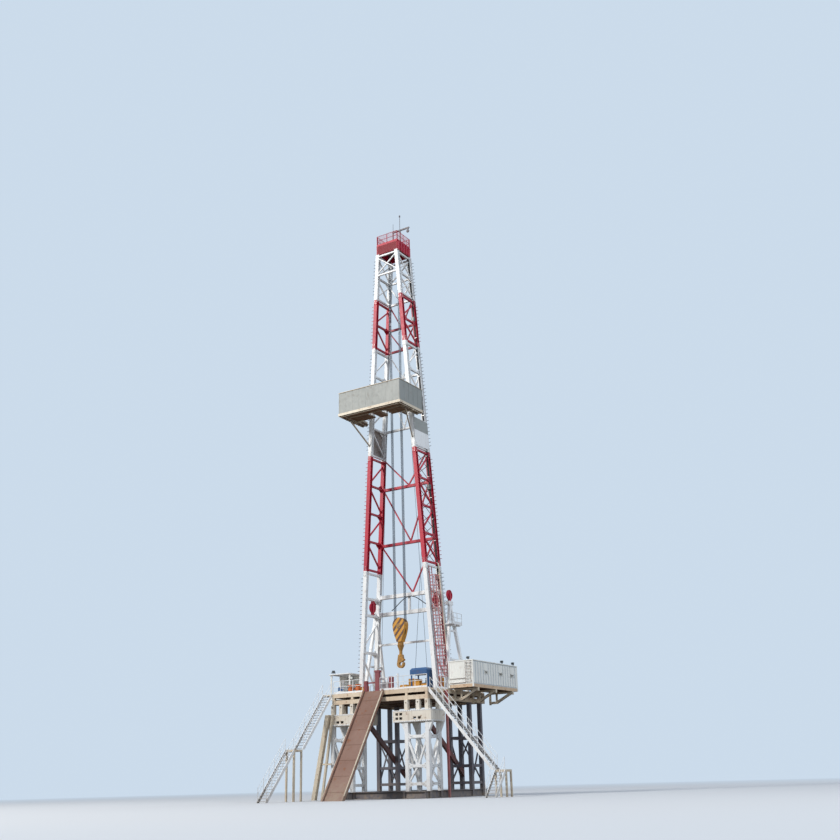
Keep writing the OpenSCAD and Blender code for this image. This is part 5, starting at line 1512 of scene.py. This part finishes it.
@dataclass
class Studio:
    """The pale floor, the soft lamps and the camera."""

    azimuth: float = 33.5
    distance: float = 49.0
    eye: float = 0.63
    pitch: float = 19.15
    yaw: float = -1.36
    roll: float = 1.5
    focal: float = 44.74
    ground: Colour = (0.62, 0.64, 0.66)
    bounce: Colour = (0.20, 0.18, 0.15)
    backdrop: Colour = (0.60, 0.71, 0.83)
    fade_from: float = 25.0
    fade_to: float = 85.0
    floor_half: float = 600.0
    skylight: Colour = (0.78, 0.86, 1.0)
    skylight_strength: float = 0.5

    def camera(self) -> None:
        """Stands the camera where the photograph was taken from."""
        lens = bpy.data.cameras.new("camera")
        lens.lens, lens.sensor_width = self.focal, 36.0
        lens.clip_end = 1000.0
        item = show("camera", lens)
        around = math.radians(self.azimuth)
        item.location = (self.distance * math.sin(around), -self.distance * math.cos(around), self.eye)
        turn = (Matrix.Rotation(math.radians(self.azimuth + self.yaw), 4, "Z")
                @ Matrix.Rotation(math.radians(90 + self.pitch), 4, "X")
                @ Matrix.Rotation(math.radians(-self.roll), 4, "Z"))
        item.rotation_euler = turn.to_euler()
        bpy.context.scene.camera = item

    def lamp(self, name: str, place: Place, aim: Place, size: float, watts: float, tint: Colour) -> None:
        """Adds one soft square lamp.

        Args:
            name: The lamp's name.
            place: Where it stands.
            aim: The point that it looks at.
            size: Length of its sides.
            watts: Its power.
            tint: Its colour.
        """
        light = bpy.data.lights.new(name, "AREA")
        light.size, light.energy, light.color = size, watts, tint
        item = show(name, light)
        item.location = place
        item.rotation_euler = (Vector(aim) - Vector(place)).to_track_quat("-Z", "Y").to_euler()

    def floor(self) -> None:
        """Lays the plain floor, paler to the camera than to the rig, which fades into the backdrop."""
        data = bpy.data.meshes.new("studio_floor")
        corners = [(x * self.floor_half, y * self.floor_half, 0) for x,
                   y in ((-1, -1), (1, -1), (1, 1), (-1, 1))]
        data.from_pydata(corners, [], [(0, 1, 2, 3)])
        item = show("studio_floor", data)
        shade = Shader("studio floor")
        path = shade.add("ShaderNodeLightPath")
        shade.colour(shade.mix(path.outputs["Is Camera Ray"], self.bounce, self.ground))
        shade.surface.inputs["Roughness"].default_value = 0.9
        away = shade.add("ShaderNodeVectorMath", {"operation": "LENGTH"}, {0: shade.where}).outputs["Value"]
        faded = shade.sum_up("MULTIPLY", path.outputs["Is Camera Ray"],
                             shade.ramp(away, self.fade_from, self.fade_to))
        haze = shade.add("ShaderNodeEmission", {}, {"Color": (*self.backdrop, 1.0)})
        both = shade.add("ShaderNodeMixShader", {},
                         {0: faded, 1: shade.surface.outputs[0], 2: haze.outputs[0]})
        shade.links.new(both.outputs[0], shade.nodes["Material Output"].inputs["Surface"])
        data.materials.append(shade.material)

    def sky(self) -> None:
        """Sets the even backdrop and the soft fill that comes from it."""
        world = bpy.data.worlds.new("backdrop")
        world.use_nodes = True
        tree = world.node_tree
        plain = tree.nodes["Background"]
        plain.inputs["Color"].default_value = (*self.skylight, 1)
        plain.inputs["Strength"].default_value = self.skylight_strength
        seen = add_node(tree, "ShaderNodeBackground", {}, {"Color": (*self.backdrop, 1)})
        path = add_node(tree, "ShaderNodeLightPath")
        either = add_node(tree, "ShaderNodeMath", {"operation": "ADD", "use_clamp": True},
                          {0: path.outputs["Is Camera Ray"], 1: path.outputs["Is Glossy Ray"]})
        choice = add_node(tree, "ShaderNodeMixShader", {},
                          {0: either.outputs[0], 1: plain.outputs[0], 2: seen.outputs[0]})
        tree.links.new(choice.outputs[0], tree.nodes["World Output"].inputs["Surface"])
        bpy.context.scene.world = world

    def build(self) -> None:
        """Sets up everything that isn't part of the rig."""
        bpy.context.scene.view_settings.view_transform = "Standard"
        self.camera()
        self.floor()
        self.sky()
        self.lamp("key", (-30, -58, 48), (0, 0, 12), 16, 46000, (1.0, 0.96, 0.90))
        self.lamp("fill", (60, -20, 30), (0, 0, 12), 30, 13000, (0.88, 0.94, 1.0))
        self.lamp("back", (10, 60, 40), (0, 0, 14), 24, 5000, (0.92, 0.95, 1.0))


def paint_nodes(nodes: dict[str, bpy.types.Object]) -> None:
    """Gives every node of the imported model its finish.

    Args:
        nodes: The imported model's objects by name.
    """
    left = set(nodes)
    for finish, names in NODE_FINISH.items():
        for name in names:
            data = nodes[name].data
            data.materials.clear()
            data.materials.append(finish.material())
            left.discard(name)
    if left:
        raise ValueError(f"nodes without a finish: {sorted(left)}")


def main() -> None:
    """Builds the scene in order."""
    logging.basicConfig(level=logging.INFO, format="%(message)s")
    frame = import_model()
    Studio().build()
    mast = Mast()
    Hose(mast).build()
    paint_nodes(frame["nodes"])
    shop = Workshop(tube_recipe(), stud_recipe(), rib_recipe())
    lamps = Floodlights()
    MastFittings(mast, shop).build()
    RackingBoard(shop).build()
    Crown(shop).build()
    BlockAndHook(shop).build()
    DrillingLines().build()
    SideCabin(shop, lamps).build()
    Substructure(shop).build()
    FloorTools(lamps).build()
    Ladder(mast, shop).build()
    HoistLines(shop).build()
    DrawworksFittings(shop).build()
    Shelter(shop).build()
    GinPole().build()
    lamps.build()


if __name__ == "__main__":
    main()
